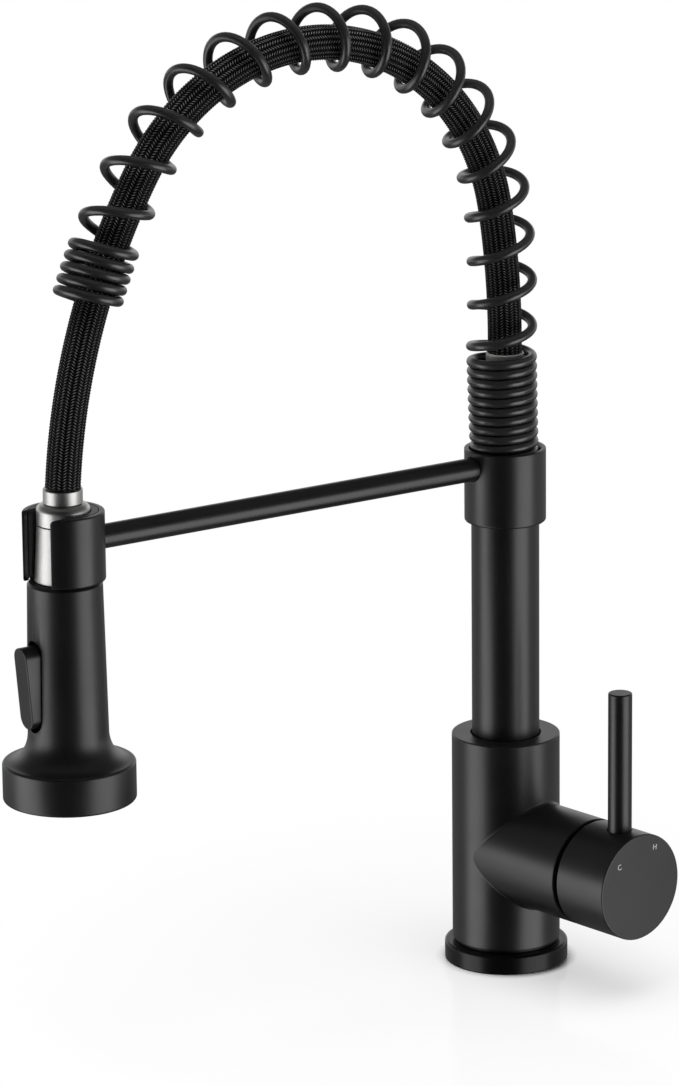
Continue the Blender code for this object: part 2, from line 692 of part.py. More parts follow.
def make_handle(pivot, black, steel, brass):
    """Pieces that tip with the lever.  Their frame stands at the pivot, Z along the handle."""
    rear = HUB_REAR - PIVOT
    face = HUB_FACE - PIVOT
    floor = DOME_RADIUS + 2 * GAP
    pocket = HUB_RADIUS - HUB_WALL
    hub = turned(
        [
            (0, floor), (pocket, floor), (pocket, rear + HUB_CONE),
            (HUB_RADIUS - HUB_LIP, rear), (HUB_RADIUS, rear), (HUB_RADIUS, face - EDGE),
            (HUB_RADIUS - EDGE, face), (0, face),
        ],
        SHOWN,
    )
    hub = add_object("handle_hub", hub, pivot, black)

    half = STEM_WIDTH / 2 + GAP
    depth = STEM_REACH + 2 * GAP
    corners = [(-half, -half), (half, -half), (half, half), (-half, half)]
    socket = lofted([[(x, y, z) for x, y in corners] for z in (rear, depth)])
    combine(hub, add_object("stem_socket_cutter", socket, pivot))

    # The rod stands out of the hub's top, which is -X in this frame
    rod_z = ROD_PLACE - PIVOT
    upwards = (0, -math.pi / 2, 0)
    shoulder = HUB_RADIUS - ROD_SEAT
    spigot_end = shoulder - ROD_SPIGOT_LENGTH
    counterbore = turned(
        [
            (0, spigot_end - 2 * GAP), (ROD_SPIGOT_RADIUS + GAP, spigot_end - 2 * GAP),
            (ROD_SPIGOT_RADIUS + GAP, shoulder - GAP), (ROD_RADIUS + GAP, shoulder - GAP),
            (ROD_RADIUS + GAP, HUB_RADIUS * 1.2), (0, HUB_RADIUS * 1.2),
        ],
        INNER,
    )
    place = (0, 0, rod_z)
    combine(hub, add_object("rod_hole_cutter", counterbore, pivot, None, place, upwards))
    rod = turned(
        [
            (0, spigot_end), (ROD_SPIGOT_RADIUS, spigot_end), (ROD_SPIGOT_RADIUS, shoulder),
            (ROD_RADIUS, shoulder), (ROD_RADIUS, ROD_REACH - EDGE),
            (ROD_RADIUS - EDGE, ROD_REACH), (0, ROD_REACH),
        ],
        INNER,
    )
    add_object("handle_rod", rod, pivot, black, place, upwards)

    # Grub screw in the hub's underside, tight on the stem
    downwards = (0, math.pi / 2, 0)
    stem_side = STEM_WIDTH / 2 + GAP
    place = (0, 0, STEM_REACH - GRUB_RADIUS * 2)
    hole = rod_shape(GRUB_RADIUS + GAP, 0, HUB_RADIUS * 1.2, SMALL)
    combine(hub, add_object("grub_hole_cutter", hole, pivot, None, place, downwards))
    grub = rod_shape(GRUB_RADIUS, stem_side, stem_side + GRUB_LENGTH, SMALL)
    grub = add_object("handle_grub_screw", grub, pivot, steel, place, downwards)
    end = stem_side + GRUB_LENGTH
    key = rod_shape(GRUB_RADIUS * 0.55, end - GRUB_RADIUS, end + GRUB_RADIUS, 6)
    combine(grub, add_object("grub_socket_cutter", key, pivot, None, place, downwards))

    make_stem(pivot, brass)


def make_stem(pivot, brass):
    """Square bar from the hub to the pivot, with a ball at its inner end."""
    half = STEM_WIDTH / 2
    start = -BALL_ARM / 2 + RUNNING_GAP
    corners = [(-half, -half), (half, -half), (half, half), (-half, half)]
    stem = lofted([[(x, y, z) for x, y in corners] for z in (start, STEM_REACH)])
    stem = add_object("lever_stem", stem, pivot, brass)
    neck = BALL_RADIUS * 0.7
    outline = arc((0, -BALL_ARM), (BALL_RADIUS, BALL_RADIUS), -math.pi / 2, math.radians(40), 4)
    outline[0] = (0, outline[0][1])
    outline += [(neck, start / 2 - BALL_ARM / 2 + GAP), (neck, 0), (0, 0)]
    ball = add_object("stem_ball_form", turned(outline, SMALL), pivot)
    combine(stem, ball, "UNION")
    hole = rod_shape(PIN_RADIUS + GAP, -STEM_WIDTH, STEM_WIDTH, SMALL)
    across = (math.pi / 2, 0, 0)
    combine(stem, add_object("stem_pin_cutter", hole, pivot, None, (0, 0, 0), across))


# ---------------------------------------------------------------- riser, collar and arm


def make_riser(spout, black, brass, rubber):
    foot_bottom = SOCKET_FLOOR + GAP
    foot_top = foot_bottom + FOOT_LENGTH
    tube_bottom = foot_top + GAP
    riser = ring_shape(RISER_RADIUS - RISER_WALL, RISER_RADIUS, tube_bottom, RISER_TOP, SHOWN)
    add_object("riser_tube", riser, spout, black)

    groove = RISER_RADIUS - 2 * O_RING_RADIUS
    half = O_RING_RADIUS + GAP
    middle = foot_groove_height()
    ring_heights = (middle - FOOT_LENGTH * 0.29, middle + FOOT_LENGTH * 0.29)
    outline = [(WATERWAY_RADIUS, foot_bottom), (RISER_RADIUS, foot_bottom)]
    groove_half = DOG_RADIUS + GAP
    grooves = ((ring_heights[0], half), (middle, groove_half), (ring_heights[1], half))
    for z, reach in grooves:
        outline += [
            (RISER_RADIUS, z - reach), (groove - GAP, z - reach),
            (groove - GAP, z + reach), (RISER_RADIUS, z + reach),
        ]
    spigot = RISER_RADIUS - RISER_WALL - GAP
    outline += [
        (RISER_RADIUS, foot_top), (spigot, foot_top), (spigot, foot_top + FOOT_LENGTH),
        (WATERWAY_RADIUS, foot_top + FOOT_LENGTH),
    ]
    add_object("riser_foot", turned(outline, INNER), spout, brass)

    wire = (O_RING_RADIUS * 0.97, O_RING_RADIUS * 0.97)
    for name, z in zip(("lower_o_ring", "upper_o_ring"), ring_heights):
        section = arc((RISER_RADIUS - O_RING_RADIUS, z), wire, 0, 2 * math.pi, 6)[:-1]
        add_object(name, turned(section, INNER), spout, rubber)


def make_collar(spout, black, steel):
    lower = RISER_RADIUS + GAP
    fillet = arc(
        (COLLAR_RADIUS - COLLAR_FILLET, COLLAR_BOTTOM + COLLAR_FILLET),
        (COLLAR_FILLET, COLLAR_FILLET), -math.pi / 2, 0, 3,
    )
    fillet = [(max(r, lower + GAP), z) for r, z in fillet]
    outline = [(lower, COLLAR_BOTTOM)] + fillet
    outline += [
        (COLLAR_RADIUS, COLLAR_TOP - EDGE), (COLLAR_RADIUS - EDGE, COLLAR_TOP),
        (COLLAR_BORE + COLLAR_CHAMFER * 0.6, COLLAR_TOP), (COLLAR_BORE, COLLAR_TOP - COLLAR_CHAMFER),
        (COLLAR_BORE, RISER_TOP), (lower, RISER_TOP),
    ]
    collar = add_object("arm_collar", turned(outline, SHOWN), spout, black)
    hole = rod_shape(ARM_RADIUS + GAP, COLLAR_BORE * 0.6, COLLAR_RADIUS * 1.2, INNER)
    forward = (math.pi / 2, 0, 0)
    combine(collar, add_object("arm_hole_cutter", hole, spout, None, (0, 0, ARM_Z), forward))

    place = (0, 0, COLLAR_BOTTOM + RISER_IN_COLLAR / 2)
    backward = (-math.pi / 2, 0, 0)
    hole = rod_shape(SET_SCREW_RADIUS + GAP, lower * 0.8, COLLAR_RADIUS * 1.2, SMALL)
    combine(collar, add_object("collar_screw_cutter", hole, spout, None, place, backward))
    screw = rod_shape(SET_SCREW_RADIUS, lower, COLLAR_RADIUS - EDGE, SMALL)
    screw = add_object("collar_set_screw", screw, spout, steel, place, backward)
    combine(screw, hex_socket("collar_screw_socket", spout, screw))


def make_arm(spout, black):
    """Straight bar from the collar's wall to the docking ring."""
    start = COLLAR_BORE + GAP
    end = REACH - DOCK_RADIUS
    spigot_end = REACH - DOCK_BORE - GAP
    bar = turned(
        [
            (0, start), (ARM_RADIUS, start), (ARM_RADIUS, end + DOCK_WALL),
            (0, end + DOCK_WALL),
        ],
        INNER,
    )
    forward = (math.pi / 2, 0, 0)
    arm = add_object("docking_arm", bar, spout, black, (0, 0, ARM_Z), forward)
    saddle = rod_shape(DOCK_RADIUS + GAP, DOCK_Z, DOCK_Z + DOCK_HEIGHT, SHOWN)
    combine(arm, add_object("arm_saddle_cutter", saddle, spout, None, (0, -REACH, 0)))
    spigot = rod_shape(ARM_SPIGOT_RADIUS, end - DOCK_RADIUS, spigot_end, SMALL)
    spigot = add_object("arm_spigot_form", spigot, spout, None, (0, 0, ARM_Z), forward)
    combine(arm, spigot, "UNION")


def make_seat(spout, brass, steel):
    """Plug in the riser's top that carries the spring, and the fittings inside the coil."""
    bottom = RISER_TOP + GAP
    spigot = RISER_RADIUS - RISER_WALL - GAP
    flange = COLLAR_BORE - GAP
    outline = [
        (WATERWAY_RADIUS, bottom - SEAT_SPIGOT), (spigot, bottom - SEAT_SPIGOT),
        (spigot, bottom), (flange, bottom), (flange, SEAT_TOP), (WATERWAY_RADIUS, SEAT_TOP),
    ]
    seat = add_object("spring_seat", turned(outline, INNER), spout, brass)

    # The stop stands square to the straight end of the wire
    face = -(END_RUN + GAP)
    inner = SPRING_RADIUS - STOP_WIDTH / 2
    outer = min(SPRING_RADIUS + STOP_WIDTH / 2, flange - 2 * GAP)
    outer = math.sqrt(outer**2 - (abs(face) + STOP_THICKNESS) ** 2)
    corners = [(face, inner), (face, outer), (face - STOP_THICKNESS, outer),
               (face - STOP_THICKNESS, inner)]
    heights = (SEAT_TOP - SEAT_FLANGE / 2, SEAT_TOP + 1.7 * WIRE_RADIUS)
    stop = lofted([[(-x, y, z) for x, y in corners] for z in heights])
    combine(seat, add_object("spring_stop_form", stop, spout), "UNION")

    neck_top = TOP_FERRULE_END - TOP_FERRULE_LENGTH - GAP
    neck = ring_shape(WATERWAY_RADIUS, FERRULE_RADIUS, SEAT_TOP + GAP, neck_top, INNER)
    add_object("hose_connector", neck, spout, brass)
    bottom = neck_top + GAP
    ferrule = ring_shape(WATERWAY_RADIUS, FERRULE_RADIUS, bottom, TOP_FERRULE_END, 28, EDGE)
    add_object("top_ferrule", ferrule, spout, steel)


# ---------------------------------------------------------------- docking ring


def c_outline(inner, outer, corner, height, steps=26):
    """An open ring's outline, its slot towards -Y, with round corners on both jaws."""
    half = SLOT_HALF
    outer_angle = math.asin(half / outer) + corner / outer
    inner_angle = math.asin(half / inner) + corner / inner
    first = -math.pi / 2

    def on(radius, angle):
        return (radius * math.cos(angle), radius * math.sin(angle))

    points = [
        on(outer, first + outer_angle + (2 * math.pi - 2 * outer_angle) * k / steps)
        for k in range(steps + 1)
    ]
    outer_y = -math.sqrt(outer**2 - half**2)
    inner_y = -math.sqrt(inner**2 - half**2)
    left = [on(outer, first - outer_angle), (-half, outer_y), (-half, outer_y + corner)]
    left_in = [(-half, inner_y - corner), (-half, inner_y), on(inner, first - inner_angle)]
    points += bend(left)[1:] + bend(left_in)
    points += [
        on(inner, first - inner_angle - (2 * math.pi - 2 * inner_angle) * k / steps)
        for k in range(1, steps)
    ]
    points += [(-x, y) for x, y in reversed(bend(left_in))]
    points += [(-x, y) for x, y in reversed(bend(left)[1:])]
    return [(x, y, height) for x, y in points]


def bend(three):
    """A quarter bend from the first point to the last, round the corner between them."""
    (ax, ay), (bx, by), (cx, cy) = three
    points = []
    for t in (0.0, 0.33, 0.67, 1.0):
        keep, turn, reach = (1 - t) ** 2, 2 * t * (1 - t), t * t
        points.append((keep * ax + turn * bx + reach * cx, keep * ay + turn * by + reach * cy))
    return points


def sleeve_radius(height):
    share = height / SLEEVE_TOP
    return SLEEVE_FOOT_RADIUS + (SLEEVE_TOP_RADIUS - SLEEVE_FOOT_RADIUS) * min(1.0, share)


def make_docking_ring(spout, black, plastic):
    top = DOCK_HEIGHT
    inside = DOCK_BORE
    corner = DOCK_WALL * 0.35
    loops = [
        c_outline(inside, DOCK_RADIUS - DOCK_BEVEL, corner, 0),
        c_outline(inside, DOCK_RADIUS, corner, DOCK_BEVEL),
        c_outline(inside, DOCK_RADIUS, corner, top - DOCK_BEVEL),
        c_outline(inside, DOCK_RADIUS - DOCK_BEVEL, corner, top),
    ]
    place = (0, -REACH, DOCK_Z)
    ring = add_object("docking_ring", lofted(loops), spout, black, place)
    hole = rod_shape(ARM_SPIGOT_RADIUS + GAP, 0, DOCK_RADIUS * 1.2, SMALL)
    backward = (-math.pi / 2, 0, 0)
    hole_place = (0, -REACH, ARM_Z)
    combine(ring, add_object("spigot_hole_cutter", hole, spout, None, hole_place, backward))

    outer = DOCK_BORE - GAP
    corner = LINER_WALL * 0.3
    heights = (GAP, SLEEVE_TOP, top - DOCK_BEVEL / 2, top)
    spare = (0, 0, 0, DOCK_BEVEL / 2)
    loops = [
        c_outline(sleeve_radius(z) + RUNNING_GAP + extra, outer, corner, z)
        for z, extra in zip(heights, spare)
    ]
    add_object("dock_liner", lofted(loops), spout, plastic, place)


# ---------------------------------------------------------------- hose end and spray head


def make_hose_end(carrier, steel, rubber):
    shoulder = NUT_BOTTOM + NUT_SKIRT
    bore = FERRULE_STEM_RADIUS + GAP
    dome = arc(
        (FERRULE_RADIUS, shoulder), (SLEEVE_TOP_RADIUS - FERRULE_RADIUS, NUT_DOME),
        0, math.pi / 2, 3,
    )
    washer_seat = NUT_BOTTOM + WASHER_THICKNESS + 2 * GAP
    washer_outer = SLEEVE_TOP_RADIUS - 2 * WASHER_THICKNESS * 0.7
    nut = turned(
        [(washer_outer + GAP, NUT_BOTTOM), (SLEEVE_TOP_RADIUS, NUT_BOTTOM)] + dome
        + [(bore, NUT_TOP), (bore, washer_seat), (washer_outer + GAP, washer_seat)],
        28,
    )
    add_object("hose_nut", nut, carrier, steel)
    bottom = NUT_BOTTOM + GAP
    washer = ring_shape(WATERWAY_RADIUS, washer_outer, bottom, bottom + WASHER_THICKNESS, INNER)
    add_object("hose_washer", washer, carrier, rubber)
    stem_bottom = washer_seat + GAP
    ferrule = turned(
        [
            (WATERWAY_RADIUS, stem_bottom), (FERRULE_STEM_RADIUS, stem_bottom),
            (FERRULE_STEM_RADIUS, NUT_TOP + GAP), (FERRULE_RADIUS, NUT_TOP + GAP),
            (FERRULE_RADIUS, FERRULE_TOP - EDGE), (FERRULE_RADIUS - EDGE, FERRULE_TOP),
            (WATERWAY_RADIUS, FERRULE_TOP),
        ],
        28,
    )
    add_object("hose_ferrule", ferrule, carrier, steel)


def make_sleeve(head, steel):
    bottom = HEAD_TOP - SLEEVE_SPIGOT
    sleeve = turned(
        [
            (WATERWAY_RADIUS, bottom), (SLEEVE_SPIGOT_RADIUS, bottom),
            (SLEEVE_SPIGOT_RADIUS, 0), (SLEEVE_FOOT_RADIUS, 0), (SLEEVE_TOP_RADIUS, SLEEVE_TOP),
            (WATERWAY_RADIUS, SLEEVE_TOP),
        ],
        SHOWN,
    )
    add_object("head_sleeve", sleeve, head, steel)


def make_head_body(head, black):
    """Tapered barrel that flares to a wide rim, open below for the spray face."""
    top_step = BARREL_RADIUS - SLEEVE_FOOT_RADIUS
    flare = arc(
        (RIM_RADIUS - RIM_FILLET, BARREL_BOTTOM),
        (RIM_RADIUS - RIM_FILLET - BARREL_RADIUS - BARREL_TAPER, FLARE_HEIGHT),
        math.pi, 1.5 * math.pi, 6,
    )
    low = arc(
        (RIM_RADIUS - RIM_FILLET, RIM_BOTTOM + RIM_FILLET), (RIM_FILLET, RIM_FILLET),
        0, -math.pi / 2, 2,
    )
    high = arc(
        (RIM_RADIUS - RIM_FILLET, RIM_TOP - RIM_FILLET), (RIM_FILLET, RIM_FILLET),
        math.pi / 2, 0, 2,
    )
    inside = RIM_RADIUS - RIM_WALL
    ceiling = MAT_TOP + GAP
    spigot_bore = SLEEVE_SPIGOT_RADIUS + GAP
    spigot_floor = HEAD_TOP - SLEEVE_SPIGOT - GAP
    core = AERATOR_RADIUS + GAP
    core_top = FACE_BOTTOM + AERATOR_DEPTH + GAP
    outline = [
        (0, spigot_floor), (spigot_bore, spigot_floor), (spigot_bore, HEAD_TOP),
        (SLEEVE_FOOT_RADIUS + top_step * 0.45, HEAD_TOP),
        (BARREL_RADIUS - top_step * 0.12, HEAD_TOP - top_step * 0.33),
        (BARREL_RADIUS, HEAD_TOP - top_step * 0.7),
    ]
    outline += flare + high[1:] + low + [
        (inside, RIM_BOTTOM), (inside, ceiling), (core, ceiling), (core, core_top), (0, core_top),
    ]
    body = add_object("head_body", turned(outline, SHOWN), head, black)

    # Recess of the trigger, the holes of its pin, and the bore of the valve that it pushes
    width = TRIGGER_WIDTH + 2 * RECESS_SIDE_GAP
    length = TRIGGER_HEIGHT + 2 * RECESS_END_GAP
    recess = stadium(width, length, 2 * TRIGGER_TOP_REACH, 6)
    middle = (TRIGGER_TOP + TRIGGER_FOOT) / 2
    combine(body, add_object("recess_cutter", recess, head, None, (0, -RECESS_FLOOR, middle)))
    pin_half = width / 2 + TRIGGER_PIN_BITE
    hole = rod_shape(TRIGGER_PIN_RADIUS + GAP, -pin_half - GAP, pin_half + GAP, SMALL)
    place = (0, -TRIGGER_PIVOT_REACH, TRIGGER_PIVOT)
    sideways = (0, math.pi / 2, 0)
    combine(body, add_object("pin_hole_cutter", hole, head, None, place, sideways))
    outer, inner = spool_ends()
    travel = SPOOL_RISE * TRIGGER_PRESS
    bore = rod_shape(SPOOL_RADIUS + GAP, inner - travel - 2 * GAP, outer, SMALL)
    place = (0, 0, TRIGGER_PIVOT + SPOOL_RISE)
    forward = (math.pi / 2, 0, 0)
    combine(body, add_object("spool_bore_cutter", bore, head, None, place, forward))


def spool_ends():
    """How far the spool's outer and inner ends lie from the head's axis."""
    rise = SPOOL_RISE / (TRIGGER_HEIGHT - TRIGGER_PIVOT_RISE)
    back = TRIGGER_BACK_PIVOT + (TRIGGER_BACK_TOP - TRIGGER_BACK_PIVOT) * rise
    lean = (TRIGGER_BACK_TOP - TRIGGER_BACK_PIVOT) / (TRIGGER_HEIGHT - TRIGGER_PIVOT_RISE)
    outer = back - SPOOL_RADIUS * lean - GAP
    return outer, outer - SPOOL_LENGTH


def nozzle_places():
    return [place for ring in NOZZLE_RINGS for place in on_circle(*ring)]


def make_spray_face(head, black, rubber, steel):
    outer = RIM_RADIUS - RIM_WALL - GAP
    inner = AERATOR_RADIUS + GAP
    face = ring_shape(inner, outer, FACE_BOTTOM, FACE_TOP, 28)
    face = add_object("spray_face", face, head, black)
    hole = NOZZLE_RADIUS + GAP
    heights = (FACE_BOTTOM - GAP, FACE_TOP + GAP)
    holes = pins(nozzle_places(), (hole, hole), heights, 6)
    combine(face, add_object("nozzle_hole_cutter", holes, head))

    mat_bottom = FACE_TOP + GAP
    mat = ring_shape(inner, outer, mat_bottom, MAT_TOP, 28)
    mat = add_object("nozzle_mat", mat, head, rubber)
    tip = NOZZLE_RADIUS * 0.7
    heights = (FACE_BOTTOM - FACE_RECESS * 0.5, mat_bottom + MAT_THICKNESS / 2)
    nubs = pins(nozzle_places(), (tip, NOZZLE_RADIUS), heights, 6)
    combine(mat, add_object("nozzle_form", nubs, head), "UNION")
    jets = pins(nozzle_places(), (NOZZLE_WALL, NOZZLE_WALL), (heights[0] - GAP, MAT_TOP + GAP), 4)
    combine(mat, add_object("jet_cutter", jets, head))

    skirt = AERATOR_RADIUS - 2 * NOZZLE_WALL
    screen = FACE_BOTTOM + AERATOR_HOLE
    top = FACE_BOTTOM + AERATOR_DEPTH
    aerator = turned(
        [
            (0, screen), (skirt, screen), (skirt, FACE_BOTTOM - FACE_RECESS / 4),
            (AERATOR_RADIUS, FACE_BOTTOM - FACE_RECESS / 4), (AERATOR_RADIUS, top), (0, top),
        ],
        INNER,
    )
    aerator = add_object("aerator", aerator, head, steel)
    places = [(0.0, 0.0)] + on_circle(skirt * 0.62, 8)
    heights = (screen - GAP, screen + AERATOR_DEPTH / 2)
    holes = pins(places, (AERATOR_HOLE, AERATOR_HOLE), heights, 6)
    combine(aerator, add_object("screen_cutter", holes, head))


def make_trigger(rocker, head, black, steel):
    """Rocker with a tall wedge-shaped face.  Its frame stands on the pin."""
    top = TRIGGER_TOP - TRIGGER_PIVOT
    foot = TRIGGER_FOOT - TRIGGER_PIVOT
    out = TRIGGER_PIVOT_REACH
    corner = TRIGGER_WIDTH * 0.2
    profile = [
        (TRIGGER_FOOT_REACH - out, foot), (TRIGGER_TOP_REACH - out, top - corner),
        (TRIGGER_TOP_REACH - out - corner * 0.3, top - corner * 0.3),
        (TRIGGER_TOP_REACH - out - corner, top), (TRIGGER_BACK_TOP - out, top),
        (TRIGGER_BACK_PIVOT - out, 0), (TRIGGER_BACK_FOOT - out, foot),
    ]
    half = TRIGGER_WIDTH / 2
    wedge = lofted([[(x, -reach, z) for reach, z in profile] for x in (-half, half)])
    trigger = add_object("trigger", wedge, rocker, black)
    front = stadium(TRIGGER_WIDTH, TRIGGER_HEIGHT, 3 * TRIGGER_TOP_REACH, 6)
    place = (0, TRIGGER_TOP_REACH, (top + foot) / 2)
    combine(trigger, add_object("trigger_front_form", front, rocker, None, place), "INTERSECT")
    sideways = (0, math.pi / 2, 0)
    hole = rod_shape(TRIGGER_PIN_RADIUS + GAP, -TRIGGER_WIDTH, TRIGGER_WIDTH, SMALL)
    combine(trigger, add_object("trigger_pin_cutter", hole, rocker, None, (0, 0, 0), sideways))

    pin_half = TRIGGER_WIDTH / 2 + RECESS_SIDE_GAP + TRIGGER_PIN_BITE
    pin = rod_shape(TRIGGER_PIN_RADIUS, -pin_half, pin_half, SMALL)
    place = (0, -TRIGGER_PIVOT_REACH, TRIGGER_PIVOT)
    add_object("trigger_pin", pin, head, steel, place, sideways)

    outer, inner = spool_ends()
    place = (0, 0, TRIGGER_PIVOT + SPOOL_RISE)
    spool = rod_shape(SPOOL_RADIUS, inner, outer, SMALL)
    add_object("diverter_spool", spool, head, steel, place, (math.pi / 2, 0, 0))


# ---------------------------------------------------------------- hose and spring


def arch_arcs():
    """Each arc's start along the arch, radius, first direction and first place, and the end."""
    arcs = []
    run, place = 0.0, np.array((0.0, 0.0, ARCH_RIGHT_Z))
    radii = (LEG_RADIUS, CROWN_RADIUS, LEFT_RADIUS, UPRIGHT_RADIUS)
    for radius, first, last, (across, up) in zip(radii, ARC_TURNS, ARC_TURNS[1:], ARC_STEPS):
        arcs.append((run, radius, first, place))
        run += radius * (last - first)
        place = place + radius * np.array((0.0, -across, up))
    return arcs, run, place


def arch_point(run):
    """Place and direction of the arch at a length along it, in the YZ plane.

    The line stands upright over the riser and comes down upright on the head's axis.  A run
    of 0 is at the arch's right foot.
    """
    arcs, total, foot = arch_arcs()
    if run <= 0:
        return np.array((0, 0, ARCH_RIGHT_Z + run)), 0.0
    if run >= total:
        return foot - np.array((0, 0, run - total)), math.pi
    start, radius, first, place = [arc for arc in arcs if arc[0] <= run][-1]
    turn = first + (run - start) / radius
    step = (0, math.cos(turn) - math.cos(first), math.sin(turn) - math.sin(first))
    return place + radius * np.array(step), turn


def run_at_height(height):
    """Length along the arch at which its left leg comes down to a height."""
    arcs, high, _ = arch_arcs()
    low = arcs[2][0]
    for _ in range(40):
        middle = (low + high) / 2
        if arch_point(middle)[0][2] > height:
            low = middle
        else:
            high = middle
    return low


def make_hose(spout, braid):
    start = TOP_FERRULE_END + GAP - ARCH_RIGHT_Z
    end_height = DOCK_Z + FERRULE_TOP + GAP
    end = run_at_height(end_height + HOSE_END_RUN)
    count = round((end - start) / HOSE_STEP)
    points = [arch_point(start + (end - start) * k / count)[0] for k in range(count + 1)]
    points.insert(1, arch_point(start + HOSE_END_RUN)[0])
    foot = np.array((0, points[-1][1], end_height))
    tube("hose", points + [foot], HOSE_RADIUS, 3, spout, braid)


def coil_run(turns, pitches):
    """Length along the arch after a number of turns: close, then open, then close."""
    base, open_pitch, end = pitches
    opened = min(max(turns - BASE_TURNS, 0), OPEN_TURNS)
    run = min(turns, BASE_TURNS) * base
    run += opened * open_pitch * (1 + PITCH_DRIFT * (1 - opened / OPEN_TURNS))
    run += max(turns - BASE_TURNS - OPEN_TURNS, 0) * end
    return run


def make_spring(spout, wire_finish):
    """Right-handed coil along the arch, with close turns at both ends."""
    base_pitch = 2 * WIRE_RADIUS + COIL_GAP
    end_pitch = base_pitch / (1 - SPRING_RADIUS / LEFT_RADIUS)
    start = SEAT_TOP + GAP + WIRE_RADIUS - ARCH_RIGHT_Z
    end = run_at_height(DOCK_Z + FERRULE_TOP + FREE_END_RISE)
    open_length = end - start - BASE_TURNS * base_pitch - END_TURNS * end_pitch
    pitches = (base_pitch, open_length / OPEN_TURNS, end_pitch)
    total = BASE_TURNS + OPEN_TURNS + END_TURNS
    count = round(total * POINTS_PER_TURN)
    points = []
    for k in range(count + 1):
        turns = k * total / count
        # The pitch changes over the turn on either side of each change
        run = sum(coil_run(min(max(turns + s, 0), total), pitches) for s in (-0.4, 0, 0.4)) / 3
        if turns < 0.4 or turns > total - 0.4:
            run = coil_run(turns, pitches)
        place, turn = arch_point(start + run)
        rise = min(1.0, turn / (math.pi / 2))
        lag = HOSE_LAG * rise * rise * (3 - 2 * rise)
        outward = np.array((0, math.cos(turn), math.sin(turn)))
        sideways = np.array((-1.0, 0, 0))
        angle = 2 * math.pi * turns
        radial = math.cos(angle) * outward + math.sin(angle) * sideways
        points.append(place + outward * lag + radial * SPRING_RADIUS)
    print("least gap of the spring to itself, mm:", round(1000 * coil_gap(points), 3))

    # Both ends run straight for a wire's diameter, along the last turn's direction
    first = np.array((END_RUN, points[0][1], points[0][2]))
    step = points[-1] - points[-2]
    last = points[-1] + step / np.linalg.norm(step) * END_RUN
    tube("spring", [first] + points + [last], WIRE_RADIUS, 1, spout, wire_finish)


def coil_gap(points):
    """Least distance between points over half a turn apart, less the wire's diameter."""
    places = np.array(points)
    least = math.inf
    for k in range(len(places)):
        others = places[k + POINTS_PER_TURN // 2 + 1 :]
        if len(others):
            least = min(least, np.linalg.norm(others - places[k], axis=1).min())
    return least - 2 * WIRE_RADIUS


# ---------------------------------------------------------------- the whole faucet


def main():
    clear_scene()
    black = material("satin_black", (0.012, 0.012, 0.013), 0.42, 0.75)
    plastic = material("black_plastic", (0.02, 0.02, 0.021), 0.5, 0.0)
    rubber = material("rubber", (0.03, 0.03, 0.032), 0.75, 0.0)
    silicone = material("grey_silicone", (0.16, 0.16, 0.165), 0.6, 0.0)
    steel = material("polished_steel", (0.72, 0.71, 0.69), 0.2, 1.0)
    brass = material("brass", (0.65, 0.47, 0.2), 0.35, 1.0)
    ceramic = material("ceramic", (0.85, 0.84, 0.8), 0.25, 0.0)
    braid = material("hose_braid", (0.015, 0.015, 0.016), 0.4, 0.1)
    wire = material("spring_wire", (0.014, 0.014, 0.015), 0.38, 0.7)

    deck = axis_empty("deck_axis")
    spout = axis_empty("spout_axis")
    handle = axis_empty("handle_axis", (0, 0, HANDLE_HEIGHT), (0, math.pi / 2, HANDLE_TURN))
    lever = axis_empty("lever_axis", (0, 0, PIVOT), parent=handle)
    hose_end = axis_empty("hose_end_axis", (0, -REACH, DOCK_Z))
    head = axis_empty("head_axis", (0, -REACH, DOCK_Z))
    pin = (0, -TRIGGER_PIVOT_REACH, TRIGGER_PIVOT)
    rocker = axis_empty("trigger_axis", pin, parent=head)

    make_base(deck, black, rubber)
    make_valve_body(deck, handle, black)
    make_body_fittings(deck, plastic, steel)
    disc_top, lip_bottom, lip = make_cartridge(handle, plastic, ceramic, brass, rubber, black)
    make_moving_disc(handle, disc_top, ceramic)
    make_rotor(handle, disc_top, lip_bottom, lip, plastic, steel)
    make_handle(lever, black, steel, brass)
    make_riser(spout, black, brass, rubber)
    make_collar(spout, black, steel)
    make_arm(spout, black)
    make_seat(spout, brass, steel)
    make_docking_ring(spout, black, plastic)
    make_hose(spout, braid)
    make_spring(spout, wire)
    make_hose_end(hose_end, steel, rubber)
    make_sleeve(head, steel)
    make_head_body(head, black)
    make_spray_face(head, black, silicone, steel)
    make_trigger(rocker, head, black, steel)


main()
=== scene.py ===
"""Looks of a pull-down kitchen faucet: satin black coat, spring arch, braided hose, steel ends.

Each operator makes one piece, or one group of like pieces, in the row frame: metres, +Z up,
the deck at z = 0, the spout reaching towards -Y and the handle close to +X.
"""

